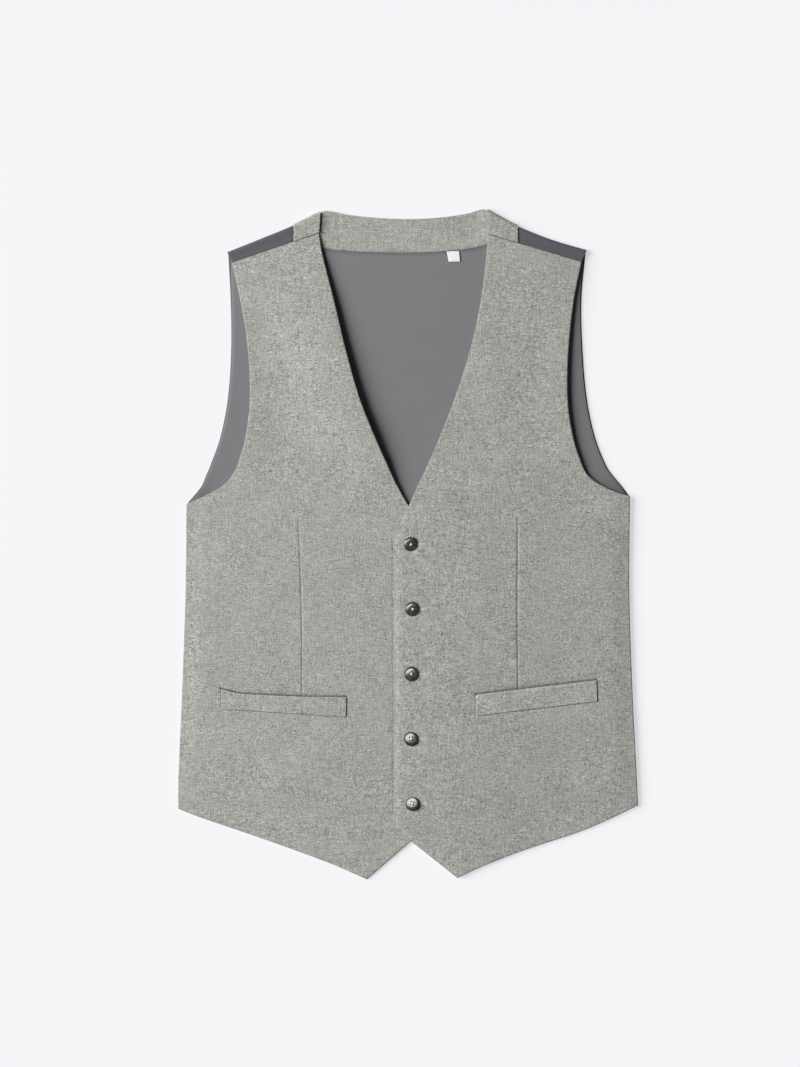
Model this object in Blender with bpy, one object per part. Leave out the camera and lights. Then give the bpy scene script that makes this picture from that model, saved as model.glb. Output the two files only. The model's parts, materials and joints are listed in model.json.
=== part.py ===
"""Suit waistcoat, single breasted with five buttons, buttoned and laid flat on its back.

The table is z = 0.  +Y runs from the hem to the neck, +X is the wearer's left and +Z is up.
Places and sizes below are in millimetres in that frame; meshes are made in metres.
Layers from the table up: back, back lining and neck facing, right front, left front, buttons.
"""
import math
from collections import namedtuple

import bmesh
import bpy
import numpy as np
from mathutils import Matrix, Vector
from mathutils import geometry
from mathutils.bvhtree import BVHTree

MM = 0.001

# Cloth walls and the air between neighbours.
GAP = 0.3
WOOL_WALL = 2.2        # front: flannel, canvas and lining pressed together
BAND_WALL = 1.2        # neckband, neck facing and pocket welts
SATIN_WALL = 1.0       # back, back lining and label
LINING_FLOOR = SATIN_WALL + GAP
FACING_FLOOR = BAND_WALL + GAP
LABEL_FLOOR = LINING_FLOOR + SATIN_WALL + GAP

# The back turns over each shoulder in a round fold.
FOLD_RADIUS = 2.5
FOLD_STEPS = 6
FLAP_ROWS = 2

# Plan of the garment, read at level sections; x of each edge at that height.
Section = namedtuple("Section", "y back_right arm_right neck_right neck_left arm_left back_left")
SECTIONS = (
    Section(60, -212.3, -191.0, -11.1, 9.3, 199.3, 219.0),
    Section(70, -208.1, -181.6, -16.0, 14.2, 185.2, 210.6),
    Section(80, -203.8, -176.0, -20.6, 18.8, 178.9, 203.5),
    Section(110, -193.2, -167.1, -33.9, 31.9, 168.9, 191.6),
    Section(150, -185.4, -162.6, -49.7, 47.3, 163.3, 183.1),
    Section(200, -182.0, -164.6, -64.0, 63.2, 164.2, 178.7),
    Section(250, -182.5, -172.4, -75.9, 74.1, 169.6, 177.5),
)
SideSection = namedtuple("SideSection", "y right left")
SIDE_SECTIONS = (
    SideSection(-240, -236.0, 234.2),
    SideSection(-150, -232.2, 229.7),
    SideSection(-50, -228.7, 226.5),
)
# Back neck: the turned neck edge, and the seam below the neckband and the facing.
NeckSection = namedtuple("NeckSection", "x edge seam")
NECK_SECTIONS = (
    NeckSection(-60, 337.8, 301.0),
    NeckSection(-30, 334.9, 299.7),
    NeckSection(0, 333.8, 299.4),
    NeckSection(30, 335.2, 300.4),
    NeckSection(60, 339.4, 303.2),
)

# Corners of each side of the garment, and the share of its shoulder that the neckband takes.
Side = namedtuple("Side", "name inwards hem_point cutaway_top break_point neck_top neck_seam "
                          "shoulder_seam arm_foot underarm hem_corner hem fold back_underarm "
                          "back_corner neck_turn neck_corner band_share")
RIGHT = Side(
    name="right", inwards=1,
    hem_point=(-42.5, -343.6), cutaway_top=(20.5, -288.8), break_point=(20.5, 4.6),
    neck_top=(-88.4, 300.0), neck_seam=(-91.4, 319.5), shoulder_seam=(-181.0, 289.0),
    arm_foot=(-213.0, 47.9), underarm=(-227.6, 41.5), hem_corner=(-236.3, -271.0),
    hem=((-84.0, -325.7), (-155.8, -299.6), (-213.2, -279.9)),
    fold=((-90.3, 340.9), (-119.4, 326.9), (-152.0, 313.5), (-186.0, 299.9)),
    back_underarm=(-226.6, 42.5), back_corner=(-235.1, -266.0), neck_turn=(-87.0, 304.5),
    neck_corner=(-86.3, 342.2), band_share=0.296,
)
LEFT = Side(
    name="left", inwards=-1,
    hem_point=(50.2, -342.1), cutaway_top=(-14.4, -290.6), break_point=(-15.1, 4.6),
    neck_top=(80.1, 300.0), neck_seam=(81.0, 318.6), shoulder_seam=(177.6, 289.9),
    arm_foot=(214.6, 53.5), underarm=(227.0, 49.7), hem_corner=(235.4, -267.5),
    hem=((73.8, -330.9), (116.9, -314.1), (174.3, -295.0), (203.0, -283.0)),
    fold=((80.6, 343.4), (94.0, 335.8), (111.0, 327.0), (146.0, 313.0), (182.8, 302.0)),
    back_underarm=(226.0, 50.6), back_corner=(234.2, -263.0), neck_turn=(80.0, 307.5),
    neck_corner=(77.2, 343.8), band_share=0.323,
)
BAND_GAP = 0.005           # share of the shoulder between the neckband and the satin
BACK_HEM_MIDDLE = (0.0, -260.0)

# How high the underside of a front lies, down its length: at the right and the left front's own
# front or neck edge, in the middle, and at the side or armhole edge.  The right front's neck edge
# stands well off the back.  Past the back's hem the points come down to the table.
Height = namedtuple("Height", "y right left middle side")
FRONT_HEIGHTS = (
    Height(-344, 0.1, 0.1, 0.1, 0.1),
    Height(-306, 0.8, 0.8, 0.8, 0.9),
    Height(-268, 2.0, 2.0, 2.0, 1.8),
    Height(-244, 2.8, 2.8, 2.9, 2.1),
    Height(-120, 3.2, 3.2, 3.3, 2.2),
    Height(0, 3.5, 3.5, 3.5, 2.4),
    Height(40, 3.8, 3.8, 3.7, 3.0),
    Height(60, 5.4, 4.2, 3.9, 3.6),
    Height(85, 8.8, 4.7, 4.1, 5.0),
    Height(110, 10.6, 5.0, 4.3, 5.6),
    Height(150, 10.6, 5.1, 4.4, 5.7),
    Height(200, 9.4, 5.1, 4.4, 5.3),
    Height(250, 7.4, 4.8, 4.3, 4.4),
    Height(290, 5.0, 4.0, 3.8, 3.6),
    Height(320, 3.0, 3.0, 3.0, 3.0),
)
FRONT_EDGE_REACH = 100.0    # how far in from an edge its own height still tells
SIDE_REACH = 22.0
ARMHOLE_REACH = 40.0
LAP_LIFT = WOOL_WALL + GAP + 0.2
LAP_END = 24.0             # the lap is level up to here across, then runs down
LAP_RUN = 150.0
LAP_TOP = 48.0             # and up to here along the neck edge
LAP_TOP_RUN = 60.0

# Rows and columns of the cloth grids.
CUTAWAY_ROWS = 3
FRONT_EDGE_ROWS = 11
NECK_ROWS = 12
FRONT_COLUMNS = 12
SIDE_ROWS = CUTAWAY_ROWS + FRONT_EDGE_ROWS
SHOULDER_COLUMNS = 4
NECK_COLUMNS = 16
BACK_SIDE_ROWS = 12
BACK_ARM_ROWS = 10
BAND_COLUMNS = 3

SEAM_INSET = 1.0           # the back ends this far inside the fronts' sides
# The lining stops short of the side seam, the hem, the armhole edge and the shoulder fold.
LINING_SIDE_INSET = 15.0
LINING_HEM_INSET = 14.0
LINING_ARM_INSET = 1.2
LINING_UNDERARM_INSET = 2.6
LINING_TURN_Y = 5.0        # below this the lining keeps to its side inset again
LINING_TURN_INSET = 13.0
LINING_FOLD_INSET = 6.5
FACING_FOLD_INSET = 3.2    # the facing reaches up into the shoulder fold

# Pocket welts: the upper and lower edge of each, from its end by the front edge to its outer end.
WELT_RIGHT_TOP = ((-63.4, -156.3), (-109.0, -155.8), (-150.0, -154.0), (-171.9, -152.7), (-192.3, -148.0))
WELT_RIGHT_BOTTOM = ((-64.2, -176.7), (-191.3, -168.4))
WELT_LEFT_TOP = ((69.0, -153.8), (192.9, -139.1))
WELT_LEFT_BOTTOM = ((69.0, -175.5), (193.4, -160.5))
WELT_COLUMNS = 10
WELT_ROWS = 2

LABEL_STEPS = 2
LABEL_TOP = ((39.4, 300.6), (52.0, 300.9))
LABEL_BOTTOM = ((41.5, 289.9), (53.0, 290.1))

# Buttons: a 24 line horn button with a raised rim, a dished face and four holes.
BUTTON_RADIUS = 7.6
BUTTON_FIRST_Y = 0.3
BUTTON_PITCH = 66.4
BUTTON_LINE_X = 3.5
BUTTON_STRAYS = (-0.9, 0.8, -0.2, -0.6, 0.8)      # each is sewn a little off the line
BUTTON_TURNS = (20.0, 40.0, 10.0, 55.0, 30.0)     # and turned its own way, in degrees
BUTTON_SIDES = 20
HOLE_RADIUS = 0.85
HOLE_OFFSET = 1.75
HOLE_SIDES = 6
PIN_LENGTH = 10.0
SHARP_ANGLE = 35.0
ProfilePoint = namedtuple("ProfilePoint", "radius z")
BUTTON_PROFILE = (
    ProfilePoint(5.4, 0.0),
    ProfilePoint(7.1, 0.7),
    ProfilePoint(BUTTON_RADIUS, 1.6),
    ProfilePoint(7.2, 2.6),
    ProfilePoint(6.2, 2.9),
    ProfilePoint(5.2, 2.2),
    ProfilePoint(3.4, 1.8),
)

Finish = namedtuple("Finish", "red green blue roughness")
WOOL = Finish(0.345, 0.352, 0.325, 0.9)
SATIN = Finish(0.110, 0.107, 0.120, 0.5)
LINING = Finish(0.205, 0.203, 0.212, 0.5)
TAPE = Finish(0.85, 0.85, 0.86, 0.6)
HORN = Finish(0.020, 0.020, 0.024, 0.25)


# ---------------------------------------------------------------- curves and grids

CURVE_POINTS = 24          # for each stretch of a curve, when its length is measured
PROBE_HEIGHT = 100.0       # heights are read from above everything


def even(steps):
    """Fractions from 0 to 1 at even distances."""
    return [step / steps for step in range(steps + 1)]


def crowded(steps):
    """Fractions from 0 to 1 that stand closer together towards both ends."""
    return [(1 - math.cos(math.pi * step / steps)) / 2 for step in range(steps + 1)]


def smooth_line(places, fractions):
    """Points at the given fractions of the length of a smooth curve through a few places."""
    knots = [Vector((place[0], place[1], 0)) for place in places]
    last = len(knots) - 1
    headings = [(knots[min(i + 1, last)] - knots[max(i - 1, 0)]).normalized() for i in range(last + 1)]
    dense = [knots[0]]
    for i in range(last):
        start, end = knots[i], knots[i + 1]
        reach = (end - start).length / 3
        dense += geometry.interpolate_bezier(
            start, start + headings[i] * reach, end - headings[i + 1] * reach, end,
            CURVE_POINTS)[1:]
    steps = [0.0] + [(b - a).length for a, b in zip(dense, dense[1:])]
    travelled = np.cumsum(steps) / np.sum(steps)
    xs = np.interp(fractions, travelled, [p.x for p in dense])
    ys = np.interp(fractions, travelled, [p.y for p in dense])
    return [Vector((x, y, 0)) for x, y in zip(xs, ys)]


def chain(*lines):
    """One line out of several that meet end to end."""
    whole = list(lines[0])
    for line in lines[1:]:
        whole += line[1:]
    return whole


def patch(bottom, top, first, last):
    """Rows of points that fill the space between four edges.

    Bottom and top run from the first edge to the last one, and those run from bottom to top.
    """
    rows = []
    for j, (start, end) in enumerate(zip(first, last)):
        v = j / (len(first) - 1)
        row = []
        for i, (low, high) in enumerate(zip(bottom, top)):
            u = (low - bottom[0]).length / ((low - bottom[0]).length + (bottom[-1] - low).length)
            across = start.lerp(end, u)
            along = low.lerp(high, v)
            corners = bottom[0].lerp(bottom[-1], u).lerp(top[0].lerp(top[-1], u), v)
            row.append(across + along - corners)
        rows.append(row)
    return rows


def rise(rows, place, column):
    """Value of one column of a table at a place, on a smooth curve through its rows."""
    places = np.array([row[0] for row in rows], dtype=float)
    values = np.array([getattr(row, column) for row in rows], dtype=float)
    slopes = np.gradient(values, places)
    place = min(max(place, places[0]), places[-1])
    i = min(int(np.searchsorted(places, place, side="right")) - 1, len(places) - 2)
    span = places[i + 1] - places[i]
    t = (place - places[i]) / span
    start = (1 + 2 * t) * (1 - t) ** 2 * values[i] + t * (1 - t) ** 2 * span * slopes[i]
    end = t * t * (3 - 2 * t) * values[i + 1] - t * t * (1 - t) * span * slopes[i + 1]
    return float(start + end)


def fade(distance, reach):
    """1 at no distance, falling softly to 0 at the reach."""
    t = min(max(distance / reach, 0.0), 1.0)
    return 1 - t * t * (3 - 2 * t)


def column(table, name):
    """The places of one named edge, up the sections of a table."""
    return [(getattr(row, name), row.y) for row in table]


# ---------------------------------------------------------------- solids

def material(name, finish):
    made = bpy.data.materials.new(name)
    made.use_nodes = True
    shader = made.node_tree.nodes["Principled BSDF"]
    shader.inputs["Base Color"].default_value = (finish.red, finish.green, finish.blue, 1)
    shader.inputs["Roughness"].default_value = finish.roughness
    return made


def add_object(name, mesh, finish):
    mesh.materials.clear()
    mesh.materials.append(material(name + "_finish", finish))
    made = bpy.data.objects.new(name, mesh)
    bpy.context.scene.collection.objects.link(made)
    return made


def cloth(name, grids, wall, finish, faces_up):
    """A cloth wall on one or more grids that join along shared points.

    The grids are the cloth's underside when faces_up is set, and the wall stands on them;
    otherwise they are its outer side, and the wall lies behind it.
    """
    shape = bmesh.new()
    for grid in grids:
        corners = [[shape.verts.new(point * MM) for point in row] for row in grid]
        for low, high in zip(corners, corners[1:]):
            for i in range(len(low) - 1):
                shape.faces.new((low[i], low[i + 1], high[i + 1], high[i]))
    bmesh.ops.remove_doubles(shape, verts=shape.verts, dist=0.00001)
    bmesh.ops.recalc_face_normals(shape, faces=shape.faces)
    flattest = max(shape.faces, key=lambda face: face.calc_area())
    if (flattest.normal.z > 0) != faces_up:
        bmesh.ops.reverse_faces(shape, faces=shape.faces)
    mesh = bpy.data.meshes.new(name)
    shape.to_mesh(mesh)
    shape.free()
    made = add_object(name, mesh, finish)
    solid = made.modifiers.new("cloth wall", "SOLIDIFY")
    solid.thickness = wall * MM
    solid.offset = 1 if faces_up else -1
    return made


# ---------------------------------------------------------------- shoulder fold

def fold_line(side, fractions, inset):
    """Points along the shoulder fold, from the neck outwards, moved into the garment.

    They move along the cloth's own edges at the neck and the armhole, and evenly between.
    """
    at_neck = (Vector((*side.neck_seam, 0)) - Vector((*side.fold[0], 0))).normalized()
    at_arm = (Vector((*side.shoulder_seam, 0)) - Vector((*side.fold[-1], 0))).normalized()
    return [point + at_neck.lerp(at_arm, share) * inset
            for point, share in zip(smooth_line(side.fold, fractions), fractions)]


def seam_line(side, fractions, clearance):
    """The front shoulder seam, from the neck outwards, moved towards the fold."""
    start = Vector((*side.neck_seam, 0))
    end = Vector((*side.shoulder_seam, 0))
    run = end - start
    away = Vector((side.inwards * run.y, -side.inwards * run.x, 0)).normalized() * clearance
    return [start.lerp(end, share) + away for share in fractions]


def band_shares(side):
    """Fractions along the shoulder, over the neckband."""
    return [side.band_share * share for share in even(BAND_COLUMNS)]


def satin_shares(side):
    """Fractions along the shoulder, from the neckband's end to the armhole."""
    start = side.band_share + BAND_GAP
    return [start + (1 - start) * share for share in even(SHOULDER_COLUMNS)]


def turn_over(side, fractions):
    """Rows that carry cloth from the table, round the fold and on to the shoulder seam on top."""
    edge = fold_line(side, fractions, 0)
    floor_row = fold_line(side, fractions, FOLD_RADIUS)
    rows = []
    for step in range(FOLD_STEPS + 1):
        angle = math.pi * step / FOLD_STEPS
        lift = Vector((0, 0, FOLD_RADIUS * (1 - math.cos(angle))))
        rows.append([start.lerp(out, math.sin(angle)) + lift for start, out in zip(floor_row, edge)])
    top = Vector((0, 0, 2 * FOLD_RADIUS))
    for share in even(FLAP_ROWS)[1:]:
        rows.append([start.lerp(end, share) + top
                     for start, end in zip(floor_row, seam_line(side, fractions, GAP))])
    return rows


# ---------------------------------------------------------------- fronts

def front_height(side, x, y, from_front, from_side):
    """Height of a front's underside at one place of its plan."""
    middle = rise(FRONT_HEIGHTS, y, "middle")
    side_reach = SIDE_REACH if y < SECTIONS[0].y else ARMHOLE_REACH
    height = middle
    height += (rise(FRONT_HEIGHTS, y, side.name) - middle) * fade(from_front, FRONT_EDGE_REACH)
    height += (rise(FRONT_HEIGHTS, y, "side") - middle) * fade(from_side, side_reach)
    if side is LEFT:
        height += LAP_LIFT * fade(x - LAP_END, LAP_RUN) * fade(y - LAP_TOP, LAP_TOP_RUN)
    return height


def front_grid(side):
    """Underside of one front, as rows from its hem up to its shoulder seam."""
    neckline = [side.break_point] + column(SECTIONS, "neck_" + side.name)
    neckline += [side.neck_top, side.neck_seam]
    armhole = [side.underarm, side.arm_foot] + column(SECTIONS, "arm_" + side.name)
    armhole += [side.shoulder_seam]
    side_line = [side.hem_corner] + column(SIDE_SECTIONS, side.name) + [side.underarm]
    front_edge = chain(
        smooth_line((side.hem_point, side.cutaway_top), even(CUTAWAY_ROWS)),
        smooth_line((side.cutaway_top, side.break_point), even(FRONT_EDGE_ROWS)),
        smooth_line(neckline, even(NECK_ROWS)))
    outer_edge = chain(smooth_line(side_line, even(SIDE_ROWS)), smooth_line(armhole, even(NECK_ROWS)))
    hem = smooth_line((side.hem_point, *side.hem, side.hem_corner), crowded(FRONT_COLUMNS))
    shoulder = smooth_line((side.neck_seam, side.shoulder_seam), crowded(FRONT_COLUMNS))
    rows = patch(hem, shoulder, front_edge, outer_edge)
    for row in rows:
        front, outer = row[0].copy(), row[-1].copy()
        for point in row:
            point.z = front_height(side, point.x, point.y, (point - front).xy.length,
                                   (point - outer).xy.length)
    return rows


def surface_of(rows):
    """A search tree over a grid, for reading its height."""
    width = len(rows[0])
    points = [point for row in rows for point in row]
    faces = [(j * width + i, j * width + i + 1, (j + 1) * width + i + 1, (j + 1) * width + i)
             for j in range(len(rows) - 1) for i in range(width - 1)]
    return BVHTree.FromPolygons(points, faces)


def height_on(surface, x, y):
    return surface.ray_cast(Vector((x, y, PROBE_HEIGHT)), Vector((0, 0, -1)))[0].z


def build_front(side):
    rows = front_grid(side)
    cloth("front_" + side.name, [rows], WOOL_WALL, WOOL, faces_up=True)
    return surface_of(rows)


def build_welt(name, surface, top_places, bottom_places):
    """A pocket welt, made from the front's own surface moved out."""
    top = smooth_line(top_places, even(WELT_COLUMNS))
    bottom = smooth_line(bottom_places, even(WELT_COLUMNS))
    rows = [[low.lerp(high, share) for low, high in zip(bottom, top)] for share in even(WELT_ROWS)]
    for row in rows:
        for point in row:
            point.z = height_on(surface, point.x, point.y) + WOOL_WALL + GAP
    cloth(name, [rows], BAND_WALL, WOOL, faces_up=True)


# ---------------------------------------------------------------- back, lining and neck

def neck_seam(inset, aside):
    """The seam below the neckband, from the right shoulder fold to the left one.

    It starts and ends the inset away from the folds, and lies aside of the true seam.
    """
    first, last = (fold_line(side, [side.band_share + BAND_GAP / 2, 1], inset)[0].xy
                   for side in (RIGHT, LEFT))
    places = [first, RIGHT.neck_turn] + [(row.x, row.seam) for row in NECK_SECTIONS]
    line = smooth_line(places + [LEFT.neck_turn, last], even(NECK_COLUMNS))
    moved = []
    for i, point in enumerate(line):
        run = line[min(i + 1, NECK_COLUMNS)] - line[max(i - 1, 0)]
        moved.append(point + Vector((-run.y, run.x, 0)).normalized() * aside)
    return moved


def neck_edge(first, last):
    """The turned edge of the back neck, from one given end to the other."""
    places = [first.xy, RIGHT.neck_corner] + [(row.x, row.edge) for row in NECK_SECTIONS]
    return smooth_line(places + [LEFT.neck_corner, last.xy], even(NECK_COLUMNS))


def side_edge(corner, seam_places, underarm, arm_places, tip):
    """One outer edge of the back or the lining: up the side seam and round the armhole."""
    return chain(smooth_line([corner] + seam_places + [underarm], even(BACK_SIDE_ROWS)),
                 smooth_line([underarm] + arm_places + [tip], even(BACK_ARM_ROWS)))


def back_grids():
    """Outer side of the back: the flat part and the two turned-over shoulders."""
    right_turn, left_turn = (turn_over(side, satin_shares(side)) for side in (RIGHT, LEFT))
    neck = neck_seam(FOLD_RADIUS, -GAP)
    neck[0], neck[-1] = right_turn[0][0], left_turn[0][0]
    top = chain(right_turn[0][::-1], neck, left_turn[0])
    hem_places = (RIGHT.back_corner, BACK_HEM_MIDDLE, LEFT.back_corner)
    hem = smooth_line(hem_places, even(len(top) - 1))
    edges = []
    for side, tip in ((RIGHT, top[0]), (LEFT, top[-1])):
        seam = [(x + side.inwards * SEAM_INSET, y) for x, y in column(SIDE_SECTIONS, side.name)]
        arm = column(SECTIONS, "back_" + side.name)
        edges.append(side_edge(side.back_corner, seam, side.back_underarm, arm, tip.xy))
    flat = patch(hem, top, *edges)
    return [flat, right_turn, left_turn]


def lining_grid():
    """Underside of the back lining, flat on the back."""
    shoulders = []
    edges = []
    for side in (RIGHT, LEFT):
        arm_inset = Vector((side.inwards * LINING_ARM_INSET, 0, 0))
        shoulder = [point + arm_inset * share for point, share in
                    zip(fold_line(side, satin_shares(side), LINING_FOLD_INSET), even(SHOULDER_COLUMNS))]
        inset = side.inwards * LINING_SIDE_INSET
        corner = (side.back_corner[0] + inset, side.back_corner[1] + LINING_HEM_INSET)
        seam = [(x + inset, y) for x, y in column(SIDE_SECTIONS[1:], side.name)]
        under_x, under_y = side.back_underarm
        seam += [(under_x + side.inwards * LINING_TURN_INSET, LINING_TURN_Y)]
        underarm = (under_x + side.inwards * LINING_UNDERARM_INSET, under_y)
        arm = [(x + arm_inset.x, y) for x, y in column(SECTIONS, "back_" + side.name)]
        edges.append(side_edge(corner, seam, underarm, arm, shoulder[-1].xy))
        shoulders.append(shoulder)
    neck = neck_seam(LINING_FOLD_INSET, -GAP)
    neck[0], neck[-1] = shoulders[0][0], shoulders[1][0]
    top = chain(shoulders[0][::-1], neck, shoulders[1])
    hem_middle = (BACK_HEM_MIDDLE[0], BACK_HEM_MIDDLE[1] + LINING_HEM_INSET)
    hem_places = (edges[0][0].xy, hem_middle, edges[1][0].xy)
    rows = patch(smooth_line(hem_places, even(len(top) - 1)), top, *edges)
    return [[point + Vector((0, 0, LINING_FLOOR)) for point in row] for row in rows]


def neckband_grids():
    """Outer side of the neckband: round the back neck, and over both shoulders."""
    right_turn, left_turn = (turn_over(side, band_shares(side)) for side in (RIGHT, LEFT))
    seam = neck_seam(FOLD_RADIUS, 0)
    seam[0], seam[-1] = right_turn[0][-1], left_turn[0][-1]
    edge = neck_edge(right_turn[0][0], left_turn[0][0])
    flat = patch(right_turn[0], left_turn[0], edge, seam)
    return [flat, right_turn, left_turn]


def facing_grid():
    """Underside of the neck facing, flat on the neckband inside the back neck."""
    ends = [fold_line(side, band_shares(side), FACING_FOLD_INSET) for side in (RIGHT, LEFT)]
    seam = neck_seam(LINING_FOLD_INSET, 0)
    seam[0], seam[-1] = ends[0][-1], ends[1][-1]
    rows = patch(*ends, neck_edge(ends[0][0], ends[1][0]), seam)
    return [[point + Vector((0, 0, FACING_FLOOR)) for point in row] for row in rows]


def build_back():
    cloth("back", back_grids(), SATIN_WALL, SATIN, faces_up=False)
    cloth("back_lining", [lining_grid()], SATIN_WALL, LINING, faces_up=True)
    cloth("neckband", neckband_grids(), BAND_WALL, WOOL, faces_up=False)
    cloth("neck_facing", [facing_grid()], BAND_WALL, WOOL, faces_up=True)


def build_label():
    rows = [smooth_line(places, even(LABEL_STEPS)) for places in (LABEL_BOTTOM, LABEL_TOP)]
    rows = [[point + Vector((0, 0, LABEL_FLOOR)) for point in row] for row in rows]
    cloth("label", [rows], SATIN_WALL, TAPE, faces_up=True)


# ---------------------------------------------------------------- buttons

def turned_disc():
    """The button's body, turned from its profile."""
    shape = bmesh.new()
    rings = []
    for point in BUTTON_PROFILE:
        ring = []
        for side in range(BUTTON_SIDES):
            angle = 2 * math.pi * side / BUTTON_SIDES
            place = Vector((point.radius * math.cos(angle), point.radius * math.sin(angle), point.z))
            ring.append(shape.verts.new(place * MM))
        rings.append(ring)
    for low, high in zip(rings, rings[1:]):
        for side in range(BUTTON_SIDES):
            after = (side + 1) % BUTTON_SIDES
            shape.faces.new((low[side], low[after], high[after], high[side]))
    shape.faces.new(rings[0][::-1])
    shape.faces.new(rings[-1])
    return shape


def hole_pins():
    """Four pins that stand where the thread holes go."""
    shape = bmesh.new()
    for quarter in range(4):
        angle = math.pi / 2 * quarter
        place = Vector((HOLE_OFFSET * math.cos(angle), HOLE_OFFSET * math.sin(angle), 0)) * MM
        bmesh.ops.create_cone(
            shape, cap_ends=True, segments=HOLE_SIDES, radius1=HOLE_RADIUS * MM,
            radius2=HOLE_RADIUS * MM, depth=PIN_LENGTH * MM, matrix=Matrix.Translation(place))
    return shape


def button_mesh():
    """The disc with its holes cut through."""
    objects = []
    for name, shape in (("button_disc", turned_disc()), ("button_pins", hole_pins())):
        mesh = bpy.data.meshes.new(name)
        shape.to_mesh(mesh)
        shape.free()
        made = bpy.data.objects.new(name, mesh)
        bpy.context.scene.collection.objects.link(made)
        objects.append(made)
    disc, pins = objects
    cut = disc.modifiers.new("thread holes", "BOOLEAN")
    cut.operation = "DIFFERENCE"
    cut.object = pins
    graph = bpy.context.evaluated_depsgraph_get()
    mesh = bpy.data.meshes.new_from_object(disc.evaluated_get(graph))
    for made in objects:
        bpy.data.objects.remove(made)
    return mesh


def build_buttons(surface):
    """Five buttons in a line on the left front."""
    mesh = button_mesh()
    mesh.shade_smooth()
    mesh.set_sharp_from_angle(angle=math.radians(SHARP_ANGLE))
    for number, (stray, turn) in enumerate(zip(BUTTON_STRAYS, BUTTON_TURNS)):
        x = BUTTON_LINE_X + stray
        y = BUTTON_FIRST_Y - number * BUTTON_PITCH
        made = add_object(f"button_{number + 1}", mesh.copy(), HORN)
        made.location = Vector((x, y, height_on(surface, x, y) + WOOL_WALL + 2 * GAP)) * MM
        made.rotation_euler.z = math.radians(turn)


def main():
    for leftover in list(bpy.data.objects):
        bpy.data.objects.remove(leftover)
    right = build_front(RIGHT)
    left = build_front(LEFT)
    build_welt("welt_right", right, WELT_RIGHT_TOP, WELT_RIGHT_BOTTOM)
    build_welt("welt_left", left, WELT_LEFT_TOP, WELT_LEFT_BOTTOM)
    build_back()
    build_label()
    build_buttons(left)


main()
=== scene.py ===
"""A suit waistcoat in light grey wool flannel, buttoned and laid flat on its satin back.

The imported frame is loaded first.  Every piece is then made on the form of its own solid in it.
Places and sizes in the tables are millimetres in the frame's own axes: the table is z = 0, +Y runs
from the hem to the neck and +X is the wearer's left.  Meshes are made in metres.
"""
import json
import math
from collections import namedtuple

import bmesh
import bpy
import numpy as np
from mathutils import Matrix, Vector
from mathutils.bvhtree import BVHTree

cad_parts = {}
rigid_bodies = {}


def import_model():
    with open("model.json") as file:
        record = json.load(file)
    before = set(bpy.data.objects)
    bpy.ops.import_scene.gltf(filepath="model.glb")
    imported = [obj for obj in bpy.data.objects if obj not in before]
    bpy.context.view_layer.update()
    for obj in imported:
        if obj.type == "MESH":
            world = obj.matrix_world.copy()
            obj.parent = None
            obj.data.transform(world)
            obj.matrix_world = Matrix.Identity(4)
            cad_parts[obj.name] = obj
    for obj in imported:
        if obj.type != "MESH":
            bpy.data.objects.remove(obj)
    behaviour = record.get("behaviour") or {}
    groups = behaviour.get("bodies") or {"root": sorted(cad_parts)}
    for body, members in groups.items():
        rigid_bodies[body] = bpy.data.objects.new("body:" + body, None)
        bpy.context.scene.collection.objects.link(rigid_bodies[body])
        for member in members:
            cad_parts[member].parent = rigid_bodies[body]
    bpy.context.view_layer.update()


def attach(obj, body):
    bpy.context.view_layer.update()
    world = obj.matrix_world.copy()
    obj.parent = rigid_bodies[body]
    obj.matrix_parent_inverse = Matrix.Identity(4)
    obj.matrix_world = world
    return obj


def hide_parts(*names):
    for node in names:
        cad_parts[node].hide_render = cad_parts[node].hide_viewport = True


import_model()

bl_info = {
    "name": "Suit Waistcoat",
    "version": (1, 0, 0),
    "blender": (4, 5, 0),
    "location": "View3D > Sidebar > Waistcoat",
    "description": "A single-breasted wool waistcoat with a satin back, buttoned and laid flat",
    "category": "Object",
}

MM = 0.001
BODY = "root"


def linear(code):
    """The linear red, green and blue of an sRGB hex colour."""
    parts = [int(code[i:i + 2], 16) / 255 for i in (1, 3, 5)]
    return tuple(p / 12.92 if p <= 0.04045 else ((p + 0.055) / 1.055) ** 2.4 for p in parts)


# ---------------------------------------------------------------- the cut, as laid on the table

GAP = 0.3
FOLD_RADIUS = 2.5
FOLD_STEPS = 16
FOLD_SAG = 0.3             # how far the turned-over cloth sinks between its fold and its seam
SEAM_CLEARANCE = 0.12      # between cloths that meet at a seam
BAND_GAP = 0.005           # share of the shoulder between the neckband and the satin

# Plan of the garment, read at level sections; x of each edge at that height.
Section = namedtuple("Section", "y back_right arm_right neck_right neck_left arm_left back_left")
SECTIONS = (
    Section(60, -212.3, -191.0, -11.1, 9.3, 199.3, 219.0),
    Section(70, -208.1, -181.6, -16.0, 14.2, 185.2, 210.6),
    Section(80, -203.8, -176.0, -20.6, 18.8, 178.9, 203.5),
    Section(110, -193.2, -167.1, -33.9, 31.9, 168.9, 191.6),
    Section(150, -185.4, -162.6, -49.7, 47.3, 163.3, 183.1),
    Section(200, -182.0, -164.6, -64.0, 63.2, 164.2, 178.7),
    Section(250, -182.5, -172.4, -75.9, 74.1, 169.6, 177.5),
)
SideSection = namedtuple("SideSection", "y right left")
SIDE_SECTIONS = (
    SideSection(-240, -236.0, 234.2),
    SideSection(-150, -232.2, 229.7),
    SideSection(-50, -228.7, 226.5),
)
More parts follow.
